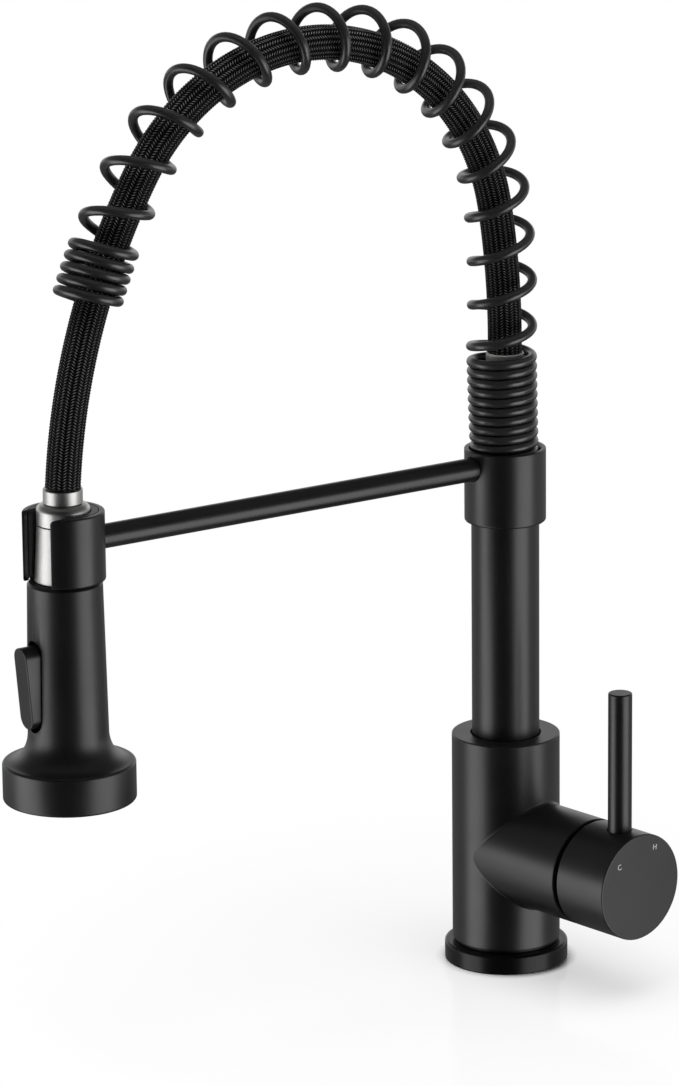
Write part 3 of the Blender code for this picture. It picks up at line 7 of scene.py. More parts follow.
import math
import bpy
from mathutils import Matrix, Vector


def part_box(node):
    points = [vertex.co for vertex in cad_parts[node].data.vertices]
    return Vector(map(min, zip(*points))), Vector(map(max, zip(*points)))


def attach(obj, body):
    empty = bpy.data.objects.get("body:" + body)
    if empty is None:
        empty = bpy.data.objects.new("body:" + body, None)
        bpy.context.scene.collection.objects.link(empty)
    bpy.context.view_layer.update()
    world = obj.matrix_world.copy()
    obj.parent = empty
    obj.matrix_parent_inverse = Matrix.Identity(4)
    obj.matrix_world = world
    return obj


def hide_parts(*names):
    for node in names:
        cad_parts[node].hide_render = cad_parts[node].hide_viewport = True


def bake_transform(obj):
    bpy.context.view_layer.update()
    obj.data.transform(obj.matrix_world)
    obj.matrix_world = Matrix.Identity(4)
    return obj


bl_info = {
    "name": "Spring Arch Faucet",
    "version": (1, 0, 0),
    "blender": (4, 5, 0),
    "location": "View3D > Sidebar > Faucet",
    "description": "Makes the finished pieces of a pull-down faucet with a spring arch",
    "category": "Object",
}

import bmesh
import bpy
import numpy as np
from bpy.props import (
    FloatProperty,
    FloatVectorProperty,
    IntProperty,
    PointerProperty,
)
from bpy.types import Operator, Panel, PropertyGroup
from mathutils import Matrix, Vector

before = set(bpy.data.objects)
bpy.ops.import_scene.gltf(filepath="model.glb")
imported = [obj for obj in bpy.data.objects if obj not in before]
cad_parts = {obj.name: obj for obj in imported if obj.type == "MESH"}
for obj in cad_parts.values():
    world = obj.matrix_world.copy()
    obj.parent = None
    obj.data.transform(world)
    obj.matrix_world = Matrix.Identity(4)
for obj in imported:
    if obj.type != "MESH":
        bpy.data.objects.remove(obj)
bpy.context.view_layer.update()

SEGMENTS = 160  # round a large turned piece
ROD_SEGMENTS = 96  # round a rod
THIN_SEGMENTS = 64  # round a screw or a hole
CUT_OVERRUN = 0.02  # how far a cutter reaches past what it cuts
EDGE = 0.0004  # soft edge of a turned piece
GAP = 0.0003  # between pieces that touch
HOSE_BORE = 0.0042  # radius of the hose's way through the pieces at its ends
POCKET_WALL = 0.0042  # from the cartridge's pocket to the outside of the boss
DOME_MOUTH = 0.0125  # radius of the dome cover's opening
DOME_WALL = 0.0012  # thickness of the dome cover
RISER_WALL = 0.0014  # thickness of the riser tube
WHITE = (1.0, 1.0, 1.0, 1.0)

# Name, letter and place of each mark on the hub's face: sideways and up from its middle
MARKS = (("hot_mark", "H", 0.00846, 0.01531), ("cold_mark", "C", -0.01176, 0.01100))

# The photograph's camera, as fitted to the edges of the round pieces
CAMERA_PLACE = (1.73043, -1.25797, 0.75381)
CAMERA_TURN = (55.81, 14.827, -0.603)  # azimuth, pitch and roll in degrees
CAMERA_LENS = 178.26  # millimetres, with a sensor of 36
CAMERA_SHIFT = -0.0173  # share of the picture's longer side
LIGHT_TARGET = (0.0, -0.08, -0.1)


# ---------------------------------------------------------------- settings


def length(name, default, description):
    return FloatProperty(
        name=name, description=description, default=default, min=0.0, unit="LENGTH", precision=5
    )


def angle(name, default, description):
    return FloatProperty(
        name=name, description=description, default=math.radians(default), subtype="ANGLE"
    )


def tint(name, default, description):
    return FloatVectorProperty(
        name=name, description=description, default=default, min=0.0, max=1.0, subtype="COLOR"
    )


def amount(name, default, description, **limits):
    return FloatProperty(name=name, description=description, default=default, **limits)


def whole(name, default, description):
    return IntProperty(name=name, description=description, default=default, min=3)


class FaucetFinish(PropertyGroup):
    coat: tint("Coat", (0.0042, 0.0042, 0.0044), "Colour of the satin black coat")
    coat_roughness: amount("Coat roughness", 0.36, "Roughness of the satin black coat",
                           min=0.0, max=1.0, subtype="FACTOR")
    wire: tint("Wire", (0.015, 0.015, 0.0155), "Colour of the spring's coat")
    steel: tint("Steel", (0.74, 0.735, 0.725), "Colour of the turned steel")
    plastic: tint("Plastic", (0.0065, 0.0065, 0.0068), "Colour of the black plastic")
    rubber: tint("Rubber", (0.012, 0.012, 0.0125), "Colour of the rubber seals")
    silicone: tint("Silicone", (0.12, 0.12, 0.124), "Colour of the soft nozzles")
    brass: tint("Brass", (0.62, 0.45, 0.2), "Colour of the brass fittings")
    ceramic: tint("Ceramic", (0.84, 0.83, 0.8), "Colour of the cartridge's discs")
    braid: tint("Braid", (0.21, 0.21, 0.214), "Colour of the hose's braid")
    marks: tint("Marks", (0.6, 0.6, 0.61), "Colour of the hot and cold marks")


class BaseSizes(PropertyGroup):
    ring_radius: length("Ring radius", 0.0257, "Radius of the base ring")
    ring_height: length("Ring height", 0.0078, "Height of the base ring")
    ring_bevel: length("Ring bevel", 0.0010, "Bevel on the base ring's top edge")
    foot_radius: length("Foot radius", 0.0200, "Radius of the body's foot in the base ring")
    groove_top: length("Groove top", 0.0093, "Height of the shadow groove's upper edge")
    groove_depth: length("Groove depth", 0.0011, "Depth of the shadow groove")
    body_radius: length("Body radius", 0.02245, "Radius of the valve body")
    body_top: length("Body top", 0.0980, "Height of the valve body")
    bushing_radius: length("Bushing radius", 0.01705, "Outer radius of the swivel bushing")
    bushing_height: length("Bushing height", 0.0068, "Height of the swivel bushing")
    bushing_sink: length("Bushing sink", 0.0012, "Depth of the bushing under the body's top")
    socket_gap: length("Socket gap", 0.0007, "Gap round the riser in the body's mouth")
    bushing_split: length("Bushing split", 0.0012, "Width of the bushing's split")
    port_radius: length("Port radius", 0.0046, "Radius of the supply ports")
    port_offset: length("Port offset", 0.0095, "Distance of the supply ports from the axis")
    stud_radius: length("Stud radius", 0.0039, "Radius of the stud's socket")
    stud_offset: length("Stud offset", 0.0128, "Distance of the stud's socket from the axis")
    saddle_fillet: length("Saddle fillet", 0.0013, "Cast fillet between the body and its boss")


class HandleSizes(PropertyGroup):
    turn: angle("Turn", 8, "Turn of the handle's axis from +X")
    height: length("Height", 0.0488, "Height of the handle's axis")
    boss_radius: length("Boss radius", 0.0222, "Radius of the boss and the hub")
    boss_reach: length("Boss reach", 0.0504, "Distance of the boss's face from the riser's axis")
    hub_rear: length("Hub rear", 0.0526, "Distance of the hub's rear edge")
    hub_face: length("Hub face", 0.0785, "Distance of the hub's face")
    pivot: length("Pivot", 0.0380, "Distance of the lever's pivot")
    rod_radius: length("Rod radius", 0.0049, "Radius of the upright rod")
    rod_place: length("Rod place", 0.0668, "Distance of the rod's axis along the handle")
    rod_top: length("Rod top", 0.0802, "Height of the rod's end over the handle's axis")
    mark_size: length("Mark size", 0.0033, "Height of the hot and cold marks")


class RiserSizes(PropertyGroup):
    tube_radius: length("Tube radius", 0.0140, "Radius of the riser tube")
    collar_radius: length("Collar radius", 0.0168, "Radius of the collar that holds the arm")
    collar_bottom: length("Collar bottom", 0.1890, "Height of the collar's lower edge")
    collar_top: length("Collar top", 0.2198, "Height of the collar's upper edge")
    collar_fillet: length("Collar fillet", 0.0030, "Rounding of the collar's lower edge")
    collar_bore: length("Collar bore", 0.01445, "Radius of the collar's mouth")
    arm_radius: length("Arm radius", 0.00485, "Radius of the arm")
    arm_height: length("Arm height", 0.2128, "Height of the arm's axis")
    screw_radius: length("Screw radius", 0.0020, "Radius of the set screws")
    foot_screw_height: length("Foot screw", 0.0789, "Height of the screw in the body's back")


class DockSizes(PropertyGroup):
    reach: length("Reach", 0.2120, "Distance of the head's axis from the riser's axis")
    bottom: length("Bottom", 0.1983, "Height of the docking ring's underside")
    height: length("Height", 0.0278, "Height of the docking ring")
    radius: length("Radius", 0.01615, "Outer radius of the docking ring")
    bore: length("Bore", 0.01395, "Radius of the docking ring's bore")
    slot_half: length("Half slot", 0.0087, "Half the width of the ring's slot")
    liner_gap: length("Liner gap", 0.0004, "Gap between the liner and the sleeve")
    slot_turn: angle("Slot turn", 7.5, "Turn of the slot from the arm's line")
    jaw_round: length("Jaw rounding", 0.0020, "Rounding of the jaws' upper corners")


class HeadSizes(PropertyGroup):
    sleeve_foot: length("Sleeve foot", 0.0118, "Radius of the steel sleeve at its foot")
    sleeve_top: length("Sleeve top", 0.0106, "Radius of the steel sleeve at its top")
    sleeve_height: length("Sleeve height", 0.0225, "Height of the steel sleeve")
    nut_skirt: length("Nut skirt", 0.0053, "Height of the nut's straight side")
    nut_dome: length("Nut dome", 0.0026, "Height of the nut's round shoulder")
    ferrule_radius: length("Ferrule radius", 0.0078, "Radius of the hose's ferrules")
    ferrule_height: length("Ferrule height", 0.0056, "Height of the lower ferrule")
    barrel_radius: length("Barrel radius", 0.01485, "Radius of the barrel's top")
    barrel_taper: length("Barrel taper", 0.00115, "Widening of the barrel down to its flare")
    barrel_length: length("Barrel length", 0.0612, "Length of the barrel")
    flare_height: length("Flare height", 0.0120, "Height of the flare")
    rim_radius: length("Rim radius", 0.0264, "Radius of the head's rim")
    rim_height: length("Rim height", 0.0158, "Height of the head's rim")
    rim_fillet: length("Rim fillet", 0.0012, "Rounding of the rim's edges")
    rim_wall: length("Rim wall", 0.0023, "Thickness of the rim's wall")
    face_recess: length("Face recess", 0.0016, "Depth of the spray face in the rim")
    aerator_radius: length("Aerator radius", 0.0072, "Radius of the aerator")
    nozzle_radius: length("Nozzle radius", 0.0012, "Radius of a nozzle's foot")
    inner_ring: length("Inner ring", 0.0130, "Radius of the inner ring of nozzles")
    outer_ring: length("Outer ring", 0.0190, "Radius of the outer ring of nozzles")
    inner_nozzles: whole("Inner nozzles", 7, "Nozzles in the inner ring")
    outer_nozzles: whole("Outer nozzles", 11, "Nozzles in the outer ring")


class TriggerSizes(PropertyGroup):
    width: length("Width", 0.0092, "Width of the trigger")
    height: length("Height", 0.0334, "Height of the trigger")
    drop: length("Drop", 0.0241, "Distance of the trigger's top under the head's top")
    top_reach: length("Top reach", 0.0216, "Reach of the trigger's face at its top")
    foot_reach: length("Foot reach", 0.0187, "Reach of the trigger's face at its foot")
    pivot_rise: length("Pivot rise", 0.0110, "Height of the pin over the trigger's foot")
    recess_floor: length("Recess floor", 0.0076, "Distance of the recess's floor from the axis")
    side_gap: length("Side gap", 0.0004, "Gap at the trigger's sides")
    end_gap: length("End gap", 0.0019, "Gap at the trigger's ends")
    edge: length("Edge", 0.0004, "Rounding of the trigger's edges")


class HoseSizes(PropertyGroup):
    radius: length("Radius", 0.0071, "Radius of the hose over its braid")
    start: length("Start", 0.2598, "Height of the upper ferrule's end")
    drawn: length("Drawn length", 0.0460, "Length of hose that draws out with the head")
    drop: length("Drop", 0.0321, "From the arch's right foot to its left foot")
    leg_radius: length("Leg radius", 0.330, "Radius in which the arch leaves the riser")
    end_radius: length("End radius", 0.025, "Radius in which the arch turns upright at its end")
    leg_turn: angle("Leg turn", 9.8, "Direction at which the crown starts")
    crown_turn: angle("Crown turn", 148.0, "Direction at which the crown ends")
    end_turn: angle("End turn", 176.4, "Direction at which the arch turns upright")
    sink: length("Sink", 0.0026, "Depth of the arch's left foot under the lower ferrule's top")
    stitch: length("Stitch", 0.00116, "Length of one braid stitch along the hose")
    relief: length("Relief", 0.00055, "Depth of the braid")
    lean: amount("Lean", 1.15, "Stitches by which a strand rises over one column")
    columns: whole("Columns", 20, "Columns of stitches round the hose")


class SpringSizes(PropertyGroup):
    wire_radius: length("Wire radius", 0.00196, "Radius of the spring's wire")
    coil_radius: length("Coil radius", 0.01217, "Mean radius of the coil")
    seat: length("Seat", 0.2088, "Height of the spring's seat")
    base_pitch: length("Base pitch", 0.00394, "Pitch of the close turns at the foot")
    end_pitch: length("End pitch", 0.00454, "Pitch of the close turns at the free end")
    lags: FloatVectorProperty(
        name="Lags", description="How far the coil stands out past the hose, foot to free end",
        size=7, default=(-0.00024, -0.00184, 0.00146, 0.0028, 0.00161, 0.00275, 0.0025),
        precision=5,
    )
    widening: FloatVectorProperty(
        name="Widening", description="Share of the coil's radius, from its foot to its free end",
        size=5, default=(1.0, 1.033, 0.996, 0.967, 0.989), precision=4,
    )
    shoulder: amount("Shoulder", 0.365, "Place of the shoulder along the crown")
    crest: amount("Crest", 0.652, "Place of the crest along the crown")
    free_end: length("Free end", 0.0712, "Height of the free end over the lower ferrule")
    start_turn: amount("Start turn", -0.045, "Share of a turn at which the wire starts")
    base_turns: amount("Base turns", 12.344, "Close turns at the foot", min=1.0)
    open_turns: amount("Open turns", 16.2, "Open turns over the arch", min=1.0)
    end_turns: amount("End turns", 4.92, "Close turns at the free end", min=1.0)
    drift: amount("Pitch drift", -0.045, "Change of the open pitch from its middle to its ends")


class StageSettings(PropertyGroup):
    world: amount("World", 1.0, "Strength of the light from behind the object", min=0.0)
    camera_side: amount("Camera side", 0.015, "Strength of the light from the camera's side",
                        min=0.0)
    side_light: amount("Side light", 1.65, "Radiance of the tall side lights", min=0.0)
    top_light: amount("Top light", 5.0, "Radiance of the overhead light", min=0.0)
    floor: tint("Floor", (0.96, 0.96, 0.96), "Colour of the floor")


GROUPS = {
    "faucet_finish": FaucetFinish,
    "faucet_base": BaseSizes,
    "faucet_handle": HandleSizes,
    "faucet_riser": RiserSizes,
    "faucet_dock": DockSizes,
    "faucet_head": HeadSizes,
    "faucet_trigger": TriggerSizes,
    "faucet_hose": HoseSizes,
    "faucet_spring": SpringSizes,
    "faucet_stage": StageSettings,
}


def settings(name):
    return getattr(bpy.context.scene, "faucet_" + name)


# ---------------------------------------------------------------- mesh helpers


def rounded(corners, steps=4):
    """An outline of (radius, height, rounding) corners, each with an arc of its own rounding."""
    outline = []
    for k, (r, z, rounding) in enumerate(corners):
        here = np.array((r, z))
        before = np.array(corners[k - 1][:2]) - here
        after = np.array(corners[(k + 1) % len(corners)][:2]) - here
        if rounding <= 0 or not np.any(before) or not np.any(after):
            outline.append((r, z))
            continue
        before_length, after_length = np.linalg.norm(before), np.linalg.norm(after)
        before, after = before / before_length, after / after_length
        half = math.acos(max(-1.0, min(1.0, float(before @ after)))) / 2
        if half > math.radians(88):
            outline.append((r, z))
            continue
        reach = min(rounding / math.tan(half), 0.45 * before_length, 0.45 * after_length)
        radius = reach * math.tan(half)
        middle = (before + after) / np.linalg.norm(before + after)
        centre = here + middle * radius / math.sin(half)
        first = here + before * reach - centre
        last = here + after * reach - centre
        span = math.acos(max(-1.0, min(1.0, float(first @ last) / radius**2)))
        # A support point on each side keeps the flat faces flat to the eye
        if before_length > 3 * reach:
            outline.append(tuple(here + before * reach * 1.35))
        for j in range(steps + 1):
            share = j / steps
            low = math.sin((1 - share) * span) / math.sin(span)
            high = math.sin(share * span) / math.sin(span)
            outline.append(tuple(centre + first * low + last * high))
        if after_length > 3 * reach:
            outline.append(tuple(here + after * reach * 1.35))
    return outline


def arc(centre, radii, start, end, steps):
    """Points on part of an ellipse, from one angle to another."""
    angles = [start + (end - start) * k / steps for k in range(steps + 1)]
    return [
        (centre[0] + radii[0] * math.cos(a), centre[1] + radii[1] * math.sin(a)) for a in angles
    ]


def turned(outline, segments=SEGMENTS):
    """A closed solid from a (radius, height) outline.  Points at radius 0 are its poles."""
    shape = bmesh.new()
    rings = []
    for r, z in outline:
        if r < 1e-9:
            rings.append([shape.verts.new((0, 0, z))])
            continue
        rings.append([
            shape.verts.new((r * math.cos(a), r * math.sin(a), z))
            for a in (2 * math.pi * k / segments for k in range(segments))
        ])
    pairs = list(zip(rings, rings[1:]))
    if len(rings[0]) > 1 or len(rings[-1]) > 1:
        pairs.append((rings[-1], rings[0]))
    for low, high in pairs:
        if len(low) == 1 and len(high) == 1:
            continue
        for k in range(segments):
            nxt = (k + 1) % segments
            if len(low) == 1:
                shape.faces.new((low[0], high[nxt], high[k]))
            elif len(high) == 1:
                shape.faces.new((low[k], low[nxt], high[0]))
            else:
                shape.faces.new((low[k], low[nxt], high[nxt], high[k]))
    bmesh.ops.recalc_face_normals(shape, faces=shape.faces)
    return shape


def lofted(loops):
    """A closed solid through loops of points, all of the same count, with flat ends."""
    shape = bmesh.new()
    rings = [[shape.verts.new(p) for p in loop] for loop in loops]
    for low, high in zip(rings, rings[1:]):
        for k in range(len(low)):
            nxt = (k + 1) % len(low)
            shape.faces.new((low[k], low[nxt], high[nxt], high[k]))
    shape.faces.new(rings[0])
    shape.faces.new(rings[-1])
    bmesh.ops.recalc_face_normals(shape, faces=shape.faces)
    return shape


def raw_object(name, shape, place=None):
    """A new object with a bmesh's form, moved to its place within its mesh."""
    if place is not None:
        shape.transform(place)
    mesh = bpy.data.meshes.new(name)
    shape.to_mesh(mesh)
    shape.free()
    obj = bpy.data.objects.new(name, mesh)
    bpy.context.scene.collection.objects.link(obj)
    return obj


def shell(name, corners, place=None, steps=4):
    """A turned piece from (radius, height, rounding) corners."""
    return raw_object(name, turned(rounded(corners, steps)), place)


def round_bar(name, radius, bottom, top, place, segments=THIN_SEGMENTS):
    """A plain round bar along Z, to cut with, to add or to keep."""
    outline = [(0, bottom), (radius, bottom), (radius, top), (0, top)]
    return raw_object(name, turned(outline, segments), place)


def settle(obj):
    """Replaces an object's live modifiers with their result."""
    bpy.context.view_layer.update()
    graph = bpy.context.evaluated_depsgraph_get()
    mesh = bpy.data.meshes.new_from_object(obj.evaluated_get(graph), depsgraph=graph)
    old = obj.data
    obj.modifiers.clear()
    obj.data = mesh
    mesh.name = obj.name
    if old.users == 0 and isinstance(old, bpy.types.Mesh):
        bpy.data.meshes.remove(old)
    return obj


def carve(obj, cutters, operation="DIFFERENCE", bevel=0.0, angle=40):
    """Boolean steps with each cutter in turn, then a small bevel on the sharp edges."""
    for cutter in cutters:
        step = obj.modifiers.new(cutter.name, "BOOLEAN")
        step.operation = operation
        step.solver = "EXACT"
        step.object = cutter
    settle(obj)
    for cutter in cutters:
        bpy.data.objects.remove(cutter, do_unlink=True)
    if bevel > 0:
        step = obj.modifiers.new("soft_edges", "BEVEL")
        step.width = bevel
        step.segments = 2
        step.limit_method = "ANGLE"
        step.angle_limit = math.radians(angle)
        settle(obj)
    return obj


def finished(obj, material, body, nodes, sharp=32):
    """Smooth shading, the finish, the body that carries the piece and the nodes it stands for."""
    mesh = obj.data
    mesh.shade_smooth()
    mesh.set_sharp_from_angle(angle=math.radians(sharp))
    mesh.materials.clear()
    mesh.materials.append(material)
    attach(obj, body)
    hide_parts(*nodes)
    return obj


def handle_place(distance=0.0):
    """Frame on the handle's axis: Z outwards, X down, with its origin at a distance out."""
    sizes = settings("handle")
    turn = Matrix.Rotation(sizes.turn, 4, "Z") @ Matrix.Rotation(math.pi / 2, 4, "Y")
    return Matrix.Translation((0, 0, sizes.height)) @ turn @ Matrix.Translation((0, 0, distance))


def upright_on_handle(distance):
    """Frame with Z straight up, on the handle's axis at a distance out."""
    return handle_place(distance) @ Matrix.Rotation(-math.pi / 2, 4, "Y")


def head_place():
    """Frame on the spray head's axis, at the docking ring's underside."""
    dock = settings("dock")
    return Matrix.Translation((0, -dock.reach, dock.bottom))


def pointing_back(height, reach=0.0):
    """Frame with Z towards +Y, at a height on the axis that stands at -reach."""
    return Matrix.Translation((0, -reach, height)) @ Matrix.Rotation(-math.pi / 2, 4, "X")


def pointing_forward(height):
    """Frame with Z towards -Y, at a height on the riser's axis."""
    return Matrix.Translation((0, 0, height)) @ Matrix.Rotation(math.pi / 2, 4, "X")


# ---------------------------------------------------------------- materials


class Graph:
    """Short names for building a node tree."""

    def __init__(self, tree):
        self.tree = tree

    def feed(self, value, target):
        """Links a socket to an input, or sets the input to a value."""
        if isinstance(value, bpy.types.NodeSocket):
            self.tree.links.new(value, target)
        else:
            target.default_value = value

    def node(self, kind, inputs=None, **values):
        """A new node with its settings, and with a value or a link for each named input."""
        made = self.tree.nodes.new(kind)
        for key, value in values.items():
            setattr(made, key, value)
        for key, value in (inputs or {}).items():
            self.feed(value, made.inputs[key])
        return made

    def math(self, operation, *values):
        made = self.node("ShaderNodeMath", dict(enumerate(values)), operation=operation)
        return made.outputs["Value"]

    def spread(self, value, low, high, start=0.3, end=0.7, curve="LINEAR"):
        """Maps a value from start..end to low..high."""
        inputs = {"Value": value, "From Min": start, "From Max": end, "To Min": low, "To Max": high}
        return self.node("ShaderNodeMapRange", inputs, interpolation_type=curve).outputs["Result"]


class GeometryGraph(Graph):
    """A new Geometry Nodes group with named inputs, realised and in one material at its end."""

    def __init__(self, name, **inputs):
        super().__init__(bpy.data.node_groups.new(name, "GeometryNodeTree"))
        face = self.tree.interface
        face.new_socket("Geometry", in_out="INPUT", socket_type="NodeSocketGeometry")
        self.identifiers = []
        for title, kind in inputs.items():
            socket = face.new_socket(title.replace("_", " "), in_out="INPUT",
                                     socket_type="NodeSocket" + kind)
            self.identifiers.append(socket.identifier)
        face.new_socket("Geometry", in_out="OUTPUT", socket_type="NodeSocketGeometry")
        self.given = self.node("NodeGroupInput").outputs

    def end_in(self, geometry, material):
        """Realizes the instances, sets the material and leads to the group's output."""
        real = self.node("GeometryNodeRealizeInstances", {"Geometry": geometry})
        paint = self.node("GeometryNodeSetMaterial",
                          {"Geometry": real.outputs["Geometry"], "Material": material})
        self.node("NodeGroupOutput", {"Geometry": paint.outputs["Geometry"]})

    def use_on(self, obj, *values):
        """Runs the tree on an object, with a value for each named input."""
        step = obj.modifiers.new(self.tree.name, "NODES")
        step.node_group = self.tree
        for identifier, value in zip(self.identifiers, values):
            step[identifier] = value
        return settle(obj)


class Nodes(Graph):
    """A new material, and short names for its finish."""

    def __init__(self, name, colour, roughness, metallic=0.0, specular=0.5):
        self.material = bpy.data.materials.new(name)
        self.material.use_nodes = True
        self.material.diffuse_color = (*colour, 1.0)
        super().__init__(self.material.node_tree)
        self.shader = self.tree.nodes["Principled BSDF"]
        self.finish("Base Color", (*colour, 1.0))
        self.finish("Roughness", roughness)
        self.finish("Metallic", metallic)
        self.finish("Specular IOR Level", specular)
        self.place = self.node("ShaderNodeTexCoord").outputs["Object"]

    def finish(self, name, value):
        self.feed(value, self.shader.inputs[name])

    def noise(self, vector, scale, detail=2.0, roughness=0.5, dimensions="3D"):
        where = "W" if dimensions == "1D" else "Vector"
        inputs = {where: vector, "Scale": scale, "Detail": detail, "Roughness": roughness}
        made = self.node("ShaderNodeTexNoise", inputs, noise_dimensions=dimensions)
        return made.outputs["Fac"]

    def shade(self, colour, factor, dark, light):
        """Base colour that varies between a darker and a lighter share of one colour."""
        low, high = ((*(c * share for c in colour), 1.0) for share in (dark, light))
        mix = self.node("ShaderNodeMix", {"Factor": factor, "A": low, "B": high},
                        data_type="RGBA")
        self.finish("Base Color", mix.outputs["Result"])

    def bump(self, height, strength, distance):
        inputs = {"Height": height, "Strength": strength, "Distance": distance}
        self.finish("Normal", self.node("ShaderNodeBump", inputs).outputs["Normal"])


def coat_material(name, colour, roughness, grain=2600.0, specular=0.9):
    """Satin coat: a fine orange peel, with slow changes of gloss and depth."""
    made = Nodes(name, colour, roughness, specular=specular)
    peel = made.noise(made.place, grain, 2.0, 0.55)
    cloud = made.noise(made.place, 55.0, 3.0)
    made.shade(colour, made.spread(cloud, 0.0, 1.0), 0.92, 1.08)
    made.finish("Roughness", made.spread(cloud, roughness - 0.02, roughness + 0.02))
    made.bump(peel, 0.12, 0.00006)
    return made.material


def turned_metal_material(name, colour, roughness, lines=5200.0):
    """Metal with fine lathe lines round an upright axis."""
    made = Nodes(name, colour, roughness, 1.0)
    height = made.node("ShaderNodeSeparateXYZ", {"Vector": made.place}).outputs["Z"]
    line = made.noise(height, lines, 3.0, 0.7, "1D")
    smear = made.noise(made.place, 220.0, 2.0)
    made.shade(colour, made.spread(smear, 0.0, 1.0), 0.95, 1.03)
    made.finish("Roughness", made.spread(line, roughness - 0.05, roughness + 0.07))
    made.bump(line, 0.22, 0.00005)
    return made.material


def grained_material(name, colour, roughness, scale, strength, metallic=0.0, specular=0.5):
    """Moulded or ground surface with an even grain."""
    made = Nodes(name, colour, roughness, metallic, specular)
    grain = made.noise(made.place, scale, 4.0, 0.6)
    made.shade(colour, made.spread(grain, 0.0, 1.0), 0.88, 1.12)
    made.finish("Roughness", made.spread(grain, roughness - 0.05, roughness + 0.06))
    made.bump(grain, strength, 0.00008)
    return made.material


def braid_material(name, colour):
    """Braided yarn.  The UV map holds the place round the hose and the height of the stitch; where
    the stitch is low, between the strands, the colour falls to near black as painted shade.
    """
    made = Nodes(name, colour, 0.5, specular=0.12)
    uv = made.node("ShaderNodeUVMap", uv_map="braid").outputs["UV"]
    height = made.node("ShaderNodeSeparateXYZ", {"Vector": uv}).outputs["Y"]
    fray = made.noise(made.place, 1500.0, 3.0, 0.6)
    # Painted shade: the colour darkens to near black in the low gaps between the strands
    strand = made.spread(height, 0.0, 1.0, 0.64, 1.0)
    made.shade(colour, made.math("MULTIPLY", strand, made.spread(fray, 0.65, 1.15)), 0.01, 1.0)
    thread = made.node("ShaderNodeTexWave", {"Vector": uv, "Scale": 3.0, "Distortion": 0.6},
                       wave_type="BANDS", bands_direction="Y")
    twist = made.math("MULTIPLY", thread.outputs["Fac"], 0.35)
    made.bump(made.math("ADD", twist, fray), 0.25, 0.00012)
    return made.material


def make_materials():
    finish = settings("finish")
    gloss = finish.coat_roughness

    def tone(name, share=1.0):
        return tuple(c * share for c in getattr(finish, name))

    # shadow is painted shade: a near black, glossless colour for the dome cover behind the hub
    coat, steel, shadow = tone("coat"), tone("steel"), (0.0008, 0.0008, 0.0008)
    return {
        "coat": coat_material("satin_black_coat", coat, gloss),
        "ring": coat_material("deep_black_coat", tone("coat", 0.5), gloss - 0.08, specular=0.35),
        "head": coat_material("satin_black_moulding", coat, gloss + 0.03, 2100.0),
        "wire": coat_material("spring_wire_coat", tone("wire"), gloss - 0.05, 3000.0, 1.2),
        "steel": turned_metal_material("turned_steel", steel, 0.40),
        "brass": turned_metal_material("turned_brass", tone("brass"), 0.34),
        "plastic": grained_material("black_moulded_plastic", tone("plastic"), 0.42, 1500, 0.2,
                                    specular=0.9),
        "rubber": grained_material("seal_rubber", tone("rubber"), 0.7, 1100, 0.25),
        "silicone": grained_material("nozzle_silicone", tone("silicone"), 0.55, 1300, 0.15),
        "ceramic": grained_material("ground_ceramic", tone("ceramic"), 0.22, 2600, 0.08),
        "blasted": grained_material("blasted_steel", steel, 0.45, 1900, 0.12, 0.45),
        "screw": grained_material("screw_steel", steel, 0.3, 1900, 0.12, 1.0),
        "shadow": grained_material("matt_black_plastic", shadow, 0.9, 1500, 0.2, specular=0.0),
        "braid": braid_material("hose_braid_yarn", tone("braid")),
        "marks": grained_material("printed_marks", tone("marks"), 0.5, 2200, 0.05),
    }


MATERIALS = {}


# ---------------------------------------------------------------- base and body


class FAUCET_OT_base_ring(Operator):
    """Make the base ring"""

    bl_idname = "faucet.base_ring"
    bl_label = "Base Ring"

    def execute(self, context):
        base = settings("base")
        bore = base.foot_radius + GAP
        corners = [
            (bore, 0.0, 0.0), (base.ring_radius, 0.0, EDGE),
            (base.ring_radius, base.ring_height, base.ring_bevel),
            (bore, base.ring_height, 0.0),
        ]
        ring = shell("base_ring_shell", corners)
        finished(ring, MATERIALS["ring"], "body", ["base_ring"])
        return {"FINISHED"}


def saddle_boss(base, handle):
    """The boss with a rolled fillet where it meets the body, as a closed form.

    Each point of the fillet lies on a ball that rests on both cylinders.
    """
    ball = base.saddle_fillet
    tall, side = base.body_radius, handle.boss_radius
    steps = 8
    loops = [[] for _ in range(steps + 5)]
    for k in range(SEGMENTS):
        angle = 2 * math.pi * k / SEGMENTS
        across, up = (side + ball) * math.cos(angle), (side + ball) * math.sin(angle)
        out = math.sqrt((tall + ball) ** 2 - across**2)
        centre = Vector((out, across, up))
        on_body = Vector((out * tall / (tall + ball), across * tall / (tall + ball), up))
        on_boss = Vector((out, across * side / (side + ball), up * side / (side + ball)))
        first, last = on_body - centre, on_boss - centre
        span = first.angle(last)
        loops[0].append(Vector((on_body.x * 0.8, on_body.y * 0.8, on_body.z)))
        for j in range(steps + 1):
            share = j / steps
            if span < 1e-4:
                loops[1 + j].append(centre + first.lerp(last, share))
                continue
            low = math.sin((1 - share) * span) / math.sin(span)
            high = math.sin(share * span) / math.sin(span)
            loops[1 + j].append(centre + first * low + last * high)
        cosine, sine = math.cos(angle), math.sin(angle)
        for j, back in ((steps + 2, 1.78 * EDGE), (steps + 3, EDGE)):
            loops[j].append(Vector((handle.boss_reach - back, side * cosine, side * sine)))
        inner = side - EDGE
        loops[steps + 4].append(Vector((handle.boss_reach, inner * cosine, inner * sine)))
    return lofted(loops)


